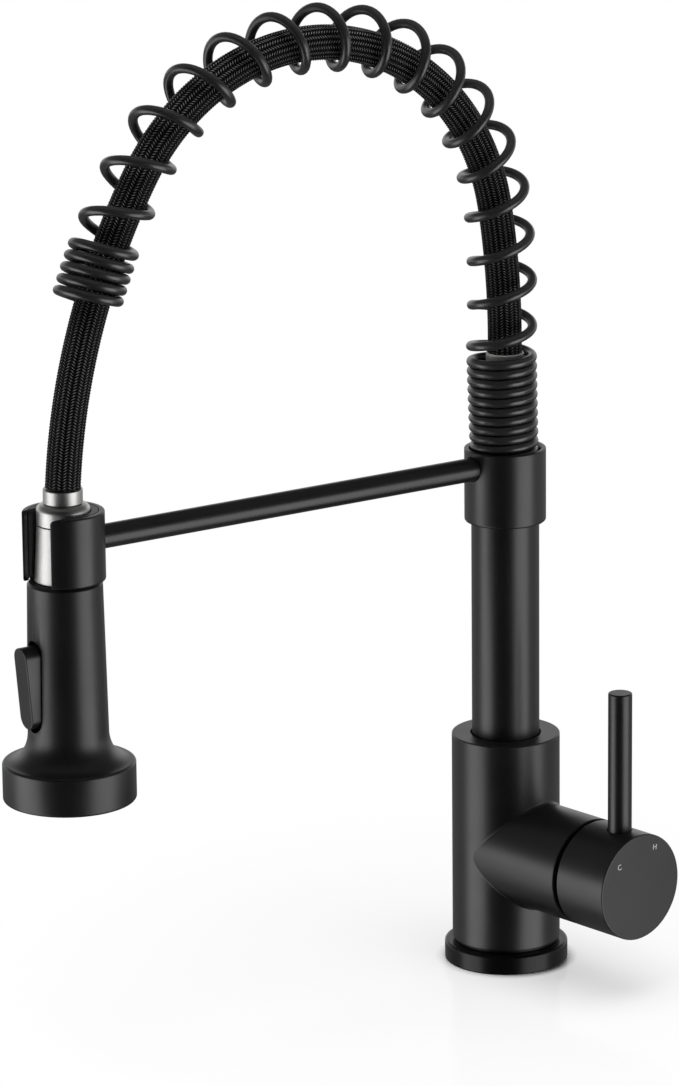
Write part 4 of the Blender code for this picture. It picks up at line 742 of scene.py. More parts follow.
class FAUCET_OT_valve_body(Operator):
    """Make the valve body with its boss, sockets and ports"""

    bl_idname = "faucet.valve_body"
    bl_label = "Valve Body"

    def execute(self, context):
        base, handle, riser = settings("base"), settings("handle"), settings("riser")
        shoulder = base.ring_height + GAP
        groove = base.body_radius - base.groove_depth
        seat = base.body_top - base.bushing_sink - base.bushing_height - GAP
        bore = base.bushing_radius + GAP
        socket = riser.tube_radius + base.socket_gap
        lip = seat + base.bushing_height + 0.0006
        floor = seat - 0.014
        corners = [
            (0.0, 0.0, 0.0), (base.foot_radius, 0.0, EDGE), (base.foot_radius, shoulder, 0.0),
            (groove, shoulder, 0.0), (groove, base.groove_top, 0.0),
            (base.body_radius, base.groove_top, EDGE * 0.7),
            (base.body_radius, base.body_top, EDGE * 1.3), (socket, base.body_top, 0.0002),
            (socket, lip, 0.0), (bore, lip, 0.0), (bore, seat, 0.0), (socket, seat, 0.0),
            (socket, floor, 0.0), (0.0, floor, 0.0),
        ]
        body = shell("valve_body_shell", corners)
        boss = saddle_boss(base, handle)
        turn = Matrix.Translation((0, 0, handle.height)) @ Matrix.Rotation(handle.turn, 4, "Z")
        carve(body, [raw_object("boss_form", boss, turn)], "UNION")

        cutters = [round_bar("pocket_cutter", handle.boss_radius - POCKET_WALL,
                             handle.boss_reach - 0.010, handle.boss_reach + CUT_OVERRUN,
                             handle_place(), ROD_SEGMENTS)]
        holes = [
            ((0, base.port_offset), base.port_radius, 0.014),
            ((0, -base.port_offset), base.port_radius, 0.014),
            ((-base.stud_offset, 0), base.stud_radius, 0.012),
        ]
        for number, ((x, y), radius, depth) in enumerate(holes):
            hole = turned([(0, -CUT_OVERRUN), (radius + EDGE, -CUT_OVERRUN), (radius + EDGE, 0.0),
                           (radius, EDGE), (radius, depth), (0, depth)], THIN_SEGMENTS)
            place = Matrix.Rotation(handle.turn, 4, "Z") @ Matrix.Translation((x, y, 0))
            cutters.append(raw_object(f"underside_cutter_{number}", hole, place))
        cutters.append(round_bar("screw_cutter", riser.screw_radius + GAP, 0.014,
                                 base.body_radius + CUT_OVERRUN,
                                 pointing_back(riser.foot_screw_height)))
        carve(body, cutters)
        finished(body, MATERIALS["coat"], "body", ["valve_body"], sharp=28)
        return {"FINISHED"}


class FAUCET_OT_body_fittings(Operator):
    """Make the split bushing under the body's lip and the dome behind the hub"""

    bl_idname = "faucet.body_fittings"
    bl_label = "Body Fittings"

    def execute(self, context):
        base, handle, riser = settings("base"), settings("handle"), settings("riser")
        top = base.body_top - base.bushing_sink
        inner = riser.tube_radius + EDGE
        corners = [
            (inner, top - base.bushing_height, 0.0),
            (base.bushing_radius, top - base.bushing_height, 0.0),
            (base.bushing_radius, top, EDGE * 0.6), (inner, top, EDGE * 0.8),
        ]
        bushing = shell("swivel_bushing_ring", corners)
        half = base.bushing_split / 2
        across = [(-half, inner / 2), (half, inner / 2), (half, base.body_radius),
                  (-half, base.body_radius)]
        split = lofted([[(x, y, z) for x, y in across]
                        for z in (top - base.bushing_height - 0.001, top + 0.001)])
        carve(bushing, [raw_object("split_cutter", split)])
        finished(bushing, MATERIALS["plastic"], "body", ["swivel_bushing"])

        start = handle.boss_reach + GAP - handle.pivot
        radius = math.hypot(handle.boss_radius - POCKET_WALL + 0.0016, start)
        outer = arc((0, 0), (radius, radius), math.asin(start / radius),
                    math.acos(DOME_MOUTH / radius), 24)
        radius -= DOME_WALL
        inner = arc((0, 0), (radius, radius), math.acos(DOME_MOUTH / radius),
                    math.asin(start / radius), 20)
        dome = raw_object("dome_cover_shell", turned(outer + inner), handle_place(handle.pivot))
        # The dome cover wears painted shade, near black and without gloss, so that the gap between
        # the boss and the hub reads dark
        finished(dome, MATERIALS["shadow"], "body", ["dome_cover"])
        return {"FINISHED"}


# ---------------------------------------------------------------- handle


class FAUCET_OT_hub(Operator):
    """Make the handle's hub"""

    bl_idname = "faucet.hub"
    bl_label = "Handle Hub"

    def execute(self, context):
        handle = settings("handle")
        rear, face = handle.hub_rear, handle.hub_face
        radius = handle.boss_radius
        inside, floor = radius - 0.0032, handle.pivot + 0.0241
        corners = [
            (0.0, floor, 0.0), (inside, floor, 0.0), (inside, rear + 0.0043, 0.0),
            (radius - 0.0006, rear, 0.0), (radius, rear, EDGE * 0.5),
            (radius, face, EDGE * 1.2), (0.0, face, 0.0),
        ]
        hub = shell("handle_hub_shell", corners, handle_place())
        end = radius + CUT_OVERRUN
        grub_place = handle_place(handle.pivot + 0.0277) @ Matrix.Rotation(math.pi / 2, 4, "Y")
        cutters = [
            round_bar("rod_hole_cutter", handle.rod_radius + 0.00035, radius - 0.0028, end,
                      upright_on_handle(handle.rod_place)),
            round_bar("grub_cutter", 0.0027, 0.0041, end, grub_place),
        ]
        carve(hub, cutters)
        finished(hub, MATERIALS["coat"], "handle", ["handle_hub"], sharp=28)
        return {"FINISHED"}


class FAUCET_OT_rod(Operator):
    """Make the handle's upright rod"""

    bl_idname = "faucet.rod"
    bl_label = "Handle Rod"

    def execute(self, context):
        handle = settings("handle")
        shoulder = handle.boss_radius - 0.0025
        spigot, foot = 0.0034, shoulder - 0.0078
        corners = [
            (0.0, foot, 0.0), (spigot, foot, 0.0), (spigot, shoulder, 0.0),
            (handle.rod_radius, shoulder, 0.0),
            (handle.rod_radius, handle.rod_top, EDGE * 1.4), (0.0, handle.rod_top, 0.0),
        ]
        rod = turned(rounded(corners), ROD_SEGMENTS)
        rod = raw_object("handle_rod_bar", rod, upright_on_handle(handle.rod_place))
        finished(rod, MATERIALS["coat"], "handle", ["handle_rod"])
        return {"FINISHED"}


class FAUCET_OT_marks(Operator):
    """Print the hot and cold marks on the hub's face"""

    bl_idname = "faucet.marks"
    bl_label = "Hot and Cold Marks"

    def execute(self, context):
        handle = settings("handle")
        # A letter's X runs sideways and its Y up, so that its Z points outwards
        turn = Matrix.Rotation(handle.turn + math.pi / 2, 4, "Z")
        upright = turn @ Matrix.Rotation(math.pi / 2, 4, "X")
        outwards = Vector((math.cos(handle.turn), math.sin(handle.turn), 0))
        sideways = Vector((-math.sin(handle.turn), math.cos(handle.turn), 0))
        for name, letter, side, up in MARKS:
            curve = bpy.data.curves.new(name, "FONT")
            curve.body = letter
            curve.size = handle.mark_size
            curve.align_x = "CENTER"
            curve.align_y = "CENTER"
            curve.extrude = 0.00003
            text = bpy.data.objects.new(name + "_text", curve)
            bpy.context.scene.collection.objects.link(text)
            bpy.context.view_layer.update()
            graph = bpy.context.evaluated_depsgraph_get()
            mesh = bpy.data.meshes.new_from_object(text.evaluated_get(graph), depsgraph=graph)
            mesh.name = name
            bpy.data.objects.remove(text, do_unlink=True)
            lean = math.atan2(side, up) * 0.25
            place = outwards * (handle.hub_face + 0.00002) + sideways * side
            place.z = handle.height + up
            mesh.transform(Matrix.Translation(place) @ upright @ Matrix.Rotation(-lean, 4, "Z"))
            mark = bpy.data.objects.new(name, mesh)
            bpy.context.scene.collection.objects.link(mark)
            mesh.materials.clear()
            mesh.materials.append(MATERIALS["marks"])
            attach(mark, "handle")
        return {"FINISHED"}


# ---------------------------------------------------------------- riser, collar and arm


class FAUCET_OT_riser(Operator):
    """Make the riser tube"""

    bl_idname = "faucet.riser"
    bl_label = "Riser Tube"

    def execute(self, context):
        riser = settings("riser")
        low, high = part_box("riser_tube")
        inner = riser.tube_radius - RISER_WALL
        corners = [(inner, low[2], 0.0), (riser.tube_radius, low[2], 0.0),
                   (riser.tube_radius, high[2], 0.0), (inner, high[2], 0.0)]
        tube = shell("riser_tube_wall", corners)
        finished(tube, MATERIALS["coat"], "spout", ["riser_tube"])
        return {"FINISHED"}


class FAUCET_OT_collar(Operator):
    """Make the collar that carries the arm and the spring's foot"""

    bl_idname = "faucet.collar"
    bl_label = "Arm Collar"

    def execute(self, context):
        riser = settings("riser")
        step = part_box("riser_tube")[1][2]
        lower = riser.tube_radius + GAP
        top = riser.collar_top
        corners = [
            (lower, riser.collar_bottom, 0.0),
            (riser.collar_radius, riser.collar_bottom, riser.collar_fillet),
            (riser.collar_radius, top, EDGE), (riser.collar_bore + 0.0006, top, 0.0002),
            (riser.collar_bore, top - 0.0010, 0.0), (riser.collar_bore, step, 0.0),
            (lower, step, 0.0),
        ]
        collar = shell("arm_collar_shell", corners, steps=6)
        end = riser.collar_radius + CUT_OVERRUN
        cutters = [
            round_bar("arm_hole_cutter", riser.arm_radius + 0.00035, riser.collar_bore * 0.6, end,
                      pointing_forward(riser.arm_height)),
            round_bar("set_screw_cutter", riser.screw_radius + GAP, lower * 0.8, end,
                      pointing_back(riser.collar_bottom + 0.0080)),
        ]
        carve(collar, cutters)
        finished(collar, MATERIALS["coat"], "spout", ["arm_collar"], sharp=28)
        return {"FINISHED"}


class FAUCET_OT_arm(Operator):
    """Make the straight arm between the collar and the docking ring"""

    bl_idname = "faucet.arm"
    bl_label = "Docking Arm"

    def execute(self, context):
        riser, dock = settings("riser"), settings("dock")
        forward = pointing_forward(riser.arm_height)
        middle = Matrix.Translation((0, -dock.reach, 0))
        spigot_radius = 0.0034
        arm = round_bar("docking_arm_bar", riser.arm_radius, riser.collar_bore + GAP,
                        dock.reach - dock.radius + 0.002, forward, ROD_SEGMENTS)
        carve(arm, [round_bar("saddle_cutter", dock.radius + 0.0002, dock.bottom,
                              dock.bottom + dock.height, middle, SEGMENTS)])
        carve(arm, [round_bar("spigot_form", spigot_radius, dock.reach - dock.radius - 0.004,
                              dock.reach - dock.bore - GAP, forward)], "UNION")
        finished(arm, MATERIALS["coat"], "spout", ["docking_arm"])
        return {"FINISHED"}


# ---------------------------------------------------------------- docking ring


def slot_cutter(dock):
    """A bar along -Y for the ring's slot.  It flares at the top and rounds the jaws' corners."""
    half, flare, height = dock.slot_half, dock.jaw_round, dock.height
    right = [(half, -CUT_OVERRUN)]
    right += arc((half + flare, height - flare), (flare, flare), math.pi, math.pi / 2, 8)
    right += [(half + flare, height + CUT_OVERRUN)]
    outline = right + [(-x, z) for x, z in reversed(right)]
    reach = dock.radius + CUT_OVERRUN
    bar_shape = lofted([[(x, y, z) for x, z in outline] for y in (-reach, -dock.slot_half / 2)])
    turn = Matrix.Rotation(dock.slot_turn, 4, "Z")
    return raw_object("slot_cutter", bar_shape, head_place() @ turn)


class FAUCET_OT_docking_ring(Operator):
    """Make the open docking ring and its liner"""

    bl_idname = "faucet.docking_ring"
    bl_label = "Docking Ring"

    def execute(self, context):
        dock, head, riser = settings("dock"), settings("head"), settings("riser")
        corners = [(dock.bore, 0.0, 0.0004), (dock.radius, 0.0, 0.0008),
                   (dock.radius, dock.height, 0.0006), (dock.bore, dock.height, 0.0002)]
        ring = shell("docking_ring_shell", corners, head_place())
        hole_radius = 0.0037  # round the arm's spigot
        cutter = round_bar("spigot_cutter", hole_radius, dock.bore * 0.5, dock.radius * 1.2,
                           pointing_back(riser.arm_height, dock.reach))
        carve(ring, [slot_cutter(dock), cutter], bevel=0.0002, angle=50)
        finished(ring, MATERIALS["coat"], "spout", ["docking_ring"])

        outer = dock.bore - GAP
        inner = head.sleeve_top + dock.liner_gap
        low = head.sleeve_foot + dock.liner_gap
        corners = [(low, GAP, 0.0), (outer, GAP, 0.0003), (outer, dock.height, 0.0001),
                   (inner, dock.height, 0.0002), (inner, head.sleeve_height, 0.0)]
        liner = shell("dock_liner_shell", corners, head_place())
        carve(liner, [slot_cutter(dock)], bevel=0.0002, angle=50)
        finished(liner, MATERIALS["plastic"], "spout", ["dock_liner"])
        return {"FINISHED"}


# ---------------------------------------------------------------- hose end and spray head


class FAUCET_OT_hose_ends(Operator):
    """Make the steel nut and ferrules at the hose's ends"""

    bl_idname = "faucet.hose_ends"
    bl_label = "Hose Nut and Ferrules"

    def execute(self, context):
        head, hose = settings("head"), settings("hose")
        bottom = head.sleeve_height + GAP
        shoulder = bottom + head.nut_skirt
        top = shoulder + head.nut_dome
        bore = 0.0055
        stem = 0.0052  # radius of the ferrule's part in the nut
        dome = arc((head.ferrule_radius, shoulder),
                   (head.sleeve_top - head.ferrule_radius, head.nut_dome), 0, math.pi / 2, 14)
        outline = rounded([(bore, bottom, 0.0), (head.sleeve_top, bottom, 0.0002),
                           (head.sleeve_top, shoulder - 0.0006, 0.0)])
        outline += dome + [(bore, top)]
        nut = raw_object("hose_nut_shell", turned(outline), head_place())
        finished(nut, MATERIALS["steel"], "hose_end", ["hose_nut"], sharp=35)

        low = top + GAP
        high = low + head.ferrule_height
        corners = [
            (HOSE_BORE, bottom + 0.0025, 0.0), (stem, bottom + 0.0025, 0.0), (stem, low, 0.0),
            (head.ferrule_radius, low, 0.00025), (head.ferrule_radius, high, 0.0003),
            (HOSE_BORE, high, 0.0),
        ]
        ferrule = shell("hose_ferrule_ring", corners, head_place())
        finished(ferrule, MATERIALS["steel"], "hose_end", ["hose_ferrule"])

        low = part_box("top_ferrule")[0][2]
        corners = [(HOSE_BORE, low, 0.0), (head.ferrule_radius, low, 0.0003),
                   (head.ferrule_radius, hose.start, 0.0005), (HOSE_BORE, hose.start, 0.0)]
        upper = shell("top_ferrule_ring", corners)
        finished(upper, MATERIALS["blasted"], "spout", ["top_ferrule"])
        return {"FINISHED"}


class FAUCET_OT_sleeve(Operator):
    """Make the tapered steel sleeve over the spray head"""

    bl_idname = "faucet.sleeve"
    bl_label = "Head Sleeve"

    def execute(self, context):
        head = settings("head")
        plug, plug_end = 0.0090, -0.0112  # the sleeve's part in the head's body
        corners = [
            (HOSE_BORE, plug_end, 0.0), (plug, plug_end, 0.0), (plug, 0.0, 0.0),
            (head.sleeve_foot, 0.0, 0.00025), (head.sleeve_top, head.sleeve_height, 0.00025),
            (HOSE_BORE, head.sleeve_height, 0.0),
        ]
        sleeve = shell("head_sleeve_cone", corners, head_place())
        finished(sleeve, MATERIALS["steel"], "spray_head", ["head_sleeve"])
        return {"FINISHED"}


def stadium(width, height, depth, steps=24):
    """An upright bar with round ends, its depth along Y from 0 to -depth."""
    radius = width / 2
    centre = height / 2 - radius
    outline = arc((0, centre), (radius, radius), 0, math.pi, steps)
    outline += arc((0, -centre), (radius, radius), math.pi, 2 * math.pi, steps)
    return lofted([[(x, y, z) for x, z in outline] for y in (0.0, -depth)])


class FAUCET_OT_head_body(Operator):
    """Make the spray head's flared body with the trigger's recess"""

    bl_idname = "faucet.head_body"
    bl_label = "Spray Head Body"

    def execute(self, context):
        head, trigger = settings("head"), settings("trigger")
        top = -GAP
        flare_top = top - head.barrel_length
        rim_top = flare_top - head.flare_height
        rim_bottom = rim_top - head.rim_height
        waist = head.barrel_radius + head.barrel_taper
        edge = head.rim_radius - head.rim_fillet
        step = head.barrel_radius - head.sleeve_foot
        flare = arc((edge, flare_top), (edge - waist, head.flare_height), math.pi,
                    1.5 * math.pi, 28)
        fillet = (head.rim_fillet, head.rim_fillet)
        high = arc((edge, rim_top - head.rim_fillet), fillet, math.pi / 2, 0, 6)
        low = arc((edge, rim_bottom + head.rim_fillet), fillet, 0, -math.pi / 2, 6)
        inside = head.rim_radius - head.rim_wall
        ceiling = rim_bottom + head.face_recess + 0.0056
        socket, floor = 0.0093, -0.0115
        crown = rounded([
            (socket, floor, 0.0), (socket, top, 0.0002),
            (head.sleeve_foot + step * 0.7, top, EDGE),
            (head.barrel_radius, top - step * 0.35, 0.0009),
            (head.barrel_radius + head.barrel_taper * 0.4, top - head.barrel_length * 0.4, 0.0),
            (waist, flare_top, 0.0),
        ])
        crown = [point for point in crown if point[1] > flare_top + 1e-6]
        outline = [(0.0, floor)] + crown + flare + high[1:] + low
        outline += [(inside, rim_bottom), (inside, ceiling), (0.0, ceiling)]
        body = raw_object("head_body_shell", turned(outline), head_place())

        width = trigger.width + 2 * trigger.side_gap
        height = trigger.height + 2 * trigger.end_gap
        recess = stadium(width, height, 2 * trigger.top_reach)
        middle = top - trigger.drop - trigger.height / 2
        place = head_place() @ Matrix.Translation((0, -trigger.recess_floor, middle))
        carve(body, [raw_object("recess_cutter", recess, place)], bevel=0.00025, angle=50)
        finished(body, MATERIALS["head"], "spray_head", ["head_body"], sharp=28)
        return {"FINISHED"}


def nozzle_tree():
    """Geometry Nodes: a ring of soft nozzles, with named inputs for its sizes."""
    tree = GeometryGraph("nozzle_ring", Ring_Radius="Float", Count="Int", Nozzle_Radius="Float",
                         Nozzle_Length="Float")
    circle = tree.node("GeometryNodeCurvePrimitiveCircle", {
        "Radius": tree.given["Ring Radius"], "Resolution": tree.given["Count"],
    })
    # The nozzle is a cone with a dished mouth
    foot = tree.given["Nozzle Radius"]
    cone = tree.node("GeometryNodeMeshCone", {
        "Vertices": 20, "Side Segments": 3, "Radius Bottom": foot,
        "Radius Top": tree.math("MULTIPLY", foot, 0.72), "Depth": tree.given["Nozzle Length"],
    })
    mouth = tree.node("GeometryNodeExtrudeMesh", {
        "Mesh": cone.outputs["Mesh"], "Selection": cone.outputs["Top"], "Offset Scale": 0.0,
        "Individual": False,
    }, mode="FACES")
    shrink = tree.node("GeometryNodeScaleElements", {
        "Geometry": mouth.outputs["Mesh"], "Selection": mouth.outputs["Top"], "Scale": 0.55,
    }, domain="FACE")
    sink = tree.node("GeometryNodeExtrudeMesh", {
        "Mesh": shrink.outputs["Geometry"], "Selection": mouth.outputs["Top"],
        "Offset Scale": -0.0008, "Individual": False,
    }, mode="FACES")
    over = tree.node("GeometryNodeInstanceOnPoints", {
        "Points": circle.outputs["Curve"], "Instance": sink.outputs["Mesh"],
    })
    tree.end_in(over.outputs["Instances"], MATERIALS["silicone"])
    return tree


class FAUCET_OT_spray_face(Operator):
    """Make the spray face, its soft nozzles and the aerator"""

    bl_idname = "faucet.spray_face"
    bl_label = "Spray Face"

    def execute(self, context):
        head = settings("head")
        rim_bottom = -GAP - head.barrel_length - head.flare_height - head.rim_height
        low = rim_bottom + head.face_recess
        high = low + 0.0030
        outer = head.rim_radius - head.rim_wall - GAP
        inner = head.aerator_radius + GAP
        corners = [(inner, low, 0.0004), (outer, low, 0.0006), (outer, high, 0.0),
                   (inner, high, 0.0)]
        face = shell("spray_face_plate", corners, head_place())
        finished(face, MATERIALS["head"], "spray_head", ["spray_face"])

        # A soft mat behind the face, and the nozzles that stand out through it
        mat_low, mat_high = high + GAP, high + 0.0023
        mat = turned([(inner, mat_low), (outer, mat_low), (outer, mat_high), (inner, mat_high)])
        reach = low - 0.0011
        flip = Matrix.Translation((0, 0, low + 0.0004)) @ Matrix.Rotation(math.pi, 4, "X")
        tree = nozzle_tree()
        parts = [raw_object("nozzle_mat_disc", mat, head_place())]
        for radius, count in ((head.inner_ring, head.inner_nozzles),
                              (head.outer_ring, head.outer_nozzles)):
            part = raw_object("nozzle_ring", bmesh.new())
            tree.use_on(part, radius, count, head.nozzle_radius, low + 0.0004 - reach)
            part.data.transform(head_place() @ flip)
            parts.append(part)
        joined = bmesh.new()
        for part in parts:
            joined.from_mesh(part.data)
        bmesh.ops.remove_doubles(joined, verts=joined.verts, dist=1e-7)
        bmesh.ops.recalc_face_normals(joined, faces=joined.faces)
        for part in parts:
            bpy.data.objects.remove(part, do_unlink=True)
        nozzles = raw_object("nozzle_set", joined)
        finished(nozzles, MATERIALS["silicone"], "spray_head", ["nozzle_mat"])

        # Aerator: a steel cup with a lattice of holes in its floor
        skirt = head.aerator_radius - 0.0008
        floor = low + 0.0010
        rim, top = low - 0.0004, low + 0.0074
        corners = [
            (0.0, floor, 0.0), (skirt, floor, 0.0), (skirt, rim, 0.0002),
            (head.aerator_radius, rim, 0.0002), (head.aerator_radius, top, 0.0), (0.0, top, 0.0),
        ]
        aerator = turned(rounded(corners), ROD_SEGMENTS)
        aerator = raw_object("aerator_cup", aerator, head_place())
        holes = bmesh.new()
        for radius, count in ((0.0, 1), (skirt * 0.36, 6), (skirt * 0.7, 12)):
            for k in range(count):
                angle = 2 * math.pi * k / count
                made = bmesh.ops.create_cone(holes, cap_ends=True, segments=12,
                                             radius1=0.0007, radius2=0.0007, depth=0.005)
                spot = (radius * math.cos(angle), radius * math.sin(angle), floor + 0.001)
                bmesh.ops.translate(holes, verts=made["verts"], vec=spot)
        carve(aerator, [raw_object("lattice_cutter", holes, head_place())])
        finished(aerator, MATERIALS["steel"], "spray_head", ["aerator"])
        return {"FINISHED"}


class FAUCET_OT_trigger(Operator):
    """Make the rocker trigger"""

    bl_idname = "faucet.trigger"
    bl_label = "Trigger"

    def execute(self, context):
        sizes = settings("trigger")
        top = -GAP - sizes.drop
        foot = top - sizes.height
        profile = [
            (sizes.foot_reach, foot), (sizes.top_reach, top), (0.0135, top),
            (0.0092, foot + sizes.pivot_rise), (0.0112, foot),
        ]
        half = sizes.width / 2
        wedge = lofted([[(x, -reach, z) for reach, z in profile] for x in (-half, half)])
        trigger = raw_object("trigger_rocker", wedge, head_place())
        form = stadium(sizes.width, sizes.height, 3 * sizes.top_reach)
        place = head_place() @ Matrix.Translation((0, 0, (top + foot) / 2))
        carve(trigger, [raw_object("trigger_form", form, place)], "INTERSECT", sizes.edge, 35)
        finished(trigger, MATERIALS["head"], "rocker", ["trigger"], sharp=20)
        return {"FINISHED"}


# ---------------------------------------------------------------- hose and spring


class Arch:
    """The hose's line: a chain of arcs from the riser's axis over to the spray head's axis.

    It leaves the riser upright in a wide arc, turns over in the crown, opens out again, and
    turns upright in a short arc at the lower ferrule.  The crown's radius and the left leg's
    radius follow from the reach and the drop.
    """

    def __init__(self):
        hose, dock, head = settings("hose"), settings("dock"), settings("head")
        ferrule_top = (dock.bottom + head.sleeve_height + GAP + head.nut_skirt
                       + head.nut_dome + GAP + head.ferrule_height)
        self.end_height = ferrule_top + GAP
        self.left = ferrule_top - hose.sink
        self.right = self.left + hose.drop
        turns = (0.0, hose.leg_turn, hose.crown_turn, hose.end_turn, math.pi)
        spans = list(zip(turns, turns[1:]))
        steps = [(math.cos(a) - math.cos(b), math.sin(b) - math.sin(a)) for a, b in spans]
        across = dock.reach - hose.leg_radius * steps[0][0] - hose.end_radius * steps[3][0]
        rise = -hose.drop - hose.leg_radius * steps[0][1] - hose.end_radius * steps[3][1]
        crown, left = np.linalg.solve(np.array(steps[1:3]).T, np.array((across, rise)))
        self.left_radius = float(left)
        self.arcs = []
        run, place = 0.0, np.array((0.0, 0.0, self.right))
        for radius, (a, b), step in zip(
            (hose.leg_radius, crown, left, hose.end_radius), spans, steps
        ):
            self.arcs.append((run, radius, a, place))
            run += radius * (b - a)
            place = place + radius * np.array((0.0, -step[0], step[1]))
        self.total, self.foot = run, place

    def at(self, run):
        """Place and direction at a length along the line, counted from the right foot."""
        if run <= 0:
            return np.array((0, 0, self.right + run)), 0.0
        if run >= self.total:
            return self.foot - np.array((0, 0, run - self.total)), math.pi
        start, radius, turn, place = [item for item in self.arcs if item[0] <= run][-1]
        here = turn + (run - start) / radius
        step = (0, math.cos(here) - math.cos(turn), math.sin(here) - math.sin(turn))
        return place + radius * np.array(step), here

    def run_at(self, height):
        """Length at which the left leg comes down to a height."""
        low, high = self.arcs[2][0], self.total
        for _ in range(50):
            middle = (low + high) / 2
            if self.at(middle)[0][2] > height:
                low = middle
            else:
                high = middle
        return low


def pull_blend(obj):
    """Bakes the hose's place into its mesh."""
    dock, hose = settings("dock"), settings("hose")
    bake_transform(obj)


class FAUCET_OT_hose(Operator):
    """Make the braided hose inside the spring"""

    bl_idname = "faucet.hose"
    bl_label = "Braided Hose"

    def execute(self, context):
        sizes = settings("hose")
        arch = Arch()
        start = sizes.start + 0.0001 - arch.right
        end = arch.run_at(arch.end_height)
        total = end - start
        per_stitch = 4
        lead = math.ceil(sizes.lean * per_stitch)
        rows = round(total / sizes.stitch * per_stitch) + lead
        around = sizes.columns * 2
        sideways = np.array((-1.0, 0, 0))

        # Each row of points runs along the zigzag, so that the ridges follow the strands
        places = np.zeros((rows + 1, around, 3))
        depths = np.zeros((rows + 1, around))
        for row in range(rows + 1):
            ridge = abs(math.cos(math.pi * row / per_stitch))
            for k in range(around):
                rise = sizes.lean * abs(k / 2 % 2 - 1)
                along = (row / per_stitch - rise) * sizes.stitch
                if row == rows:
                    along = total
                along = min(max(along, 0.0), total)
                centre, turn = arch.at(start + along)
                outward = np.array((0, math.cos(turn), math.sin(turn)))
                depth = ridge * (0.6 if k % 2 == 0 else 1.0)
                fade = min(1.0, along / sizes.stitch, (total - along) / sizes.stitch)
                radius = sizes.radius - sizes.relief * (1 - depth) * max(fade, 0.2)
                angle = 2 * math.pi * k / around
                radial = math.cos(angle) * outward + math.sin(angle) * sideways
                places[row, k] = centre + radial * radius
                depths[row, k] = depth
        shape = bmesh.new()
        layer = shape.loops.layers.uv.new("braid")
        grid = [[shape.verts.new(p) for p in ring] for ring in places]
        for row in range(rows):
            for k in range(around):
                nxt = (k + 1) % around
                face = shape.faces.new(
                    (grid[row][k], grid[row + 1][k], grid[row + 1][nxt], grid[row][nxt])
                )
                corners = ((row, k), (row + 1, k), (row + 1, k + 1), (row, k + 1))
                # The stitch's height goes into the UV map, from which the braid's finish paints
                # shade in the low gaps
                for loop, (i, j) in zip(face.loops, corners):
                    loop[layer].uv = (j / around, depths[i, j % around])
        shape.faces.new(grid[0])
        shape.faces.new(list(reversed(grid[-1])))
        bmesh.ops.remove_doubles(shape, verts=shape.verts, dist=1e-6)
        bmesh.ops.recalc_face_normals(shape, faces=shape.faces)
        hose = raw_object("braided_hose", shape)
        hose.data.shade_smooth()
        hose.data.materials.append(MATERIALS["braid"])
        pull_blend(hose)
        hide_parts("hose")
        return {"FINISHED"}


def spring_tree():
    """Geometry Nodes: winds a wire round a marked line.

    Each point of the line carries its turns so far, the coil's widening there and the
    direction away from the arch's centre.  The tree moves the points out to the coil and
    sweeps the wire along them.
    """
    tree = GeometryGraph("wound_spring", Coil_Radius="Float", Wire_Radius="Float",
                         Wire_Sides="Int")

    def attribute(name, kind="FLOAT"):
        made = tree.node("GeometryNodeInputNamedAttribute", {"Name": name}, data_type=kind)
        return made.outputs["Attribute"]

    def scaled(vector, factor):
        inputs = {"Vector": vector, "Scale": factor}
        return tree.node("ShaderNodeVectorMath", inputs, operation="SCALE").outputs["Vector"]

    angle = tree.math("MULTIPLY", attribute("turns"), 2 * math.pi)
    reach = tree.math("MULTIPLY", attribute("widening"), tree.given["Coil Radius"])
    out = tree.math("MULTIPLY", tree.math("COSINE", angle), reach)
    aside = tree.math("MULTIPLY", tree.math("SINE", angle), reach)
    offset = tree.node("ShaderNodeVectorMath", {
        0: scaled(attribute("outward", "FLOAT_VECTOR"), out), 1: scaled((-1.0, 0.0, 0.0), aside),
    }, operation="ADD")
    move = tree.node("GeometryNodeSetPosition", {
        "Geometry": tree.given["Geometry"], "Offset": offset.outputs["Vector"],
    })
    line = tree.node("GeometryNodeMeshToCurve", {"Mesh": move.outputs["Geometry"]})
    profile = tree.node("GeometryNodeCurvePrimitiveCircle", {
        "Radius": tree.given["Wire Radius"], "Resolution": tree.given["Wire Sides"],
    })
    sweep = tree.node("GeometryNodeCurveToMesh", {
        "Curve": line.outputs["Curve"], "Profile Curve": profile.outputs["Curve"],
        "Fill Caps": True,
    })
    tree.end_in(sweep.outputs["Mesh"], MATERIALS["wire"])
    return tree


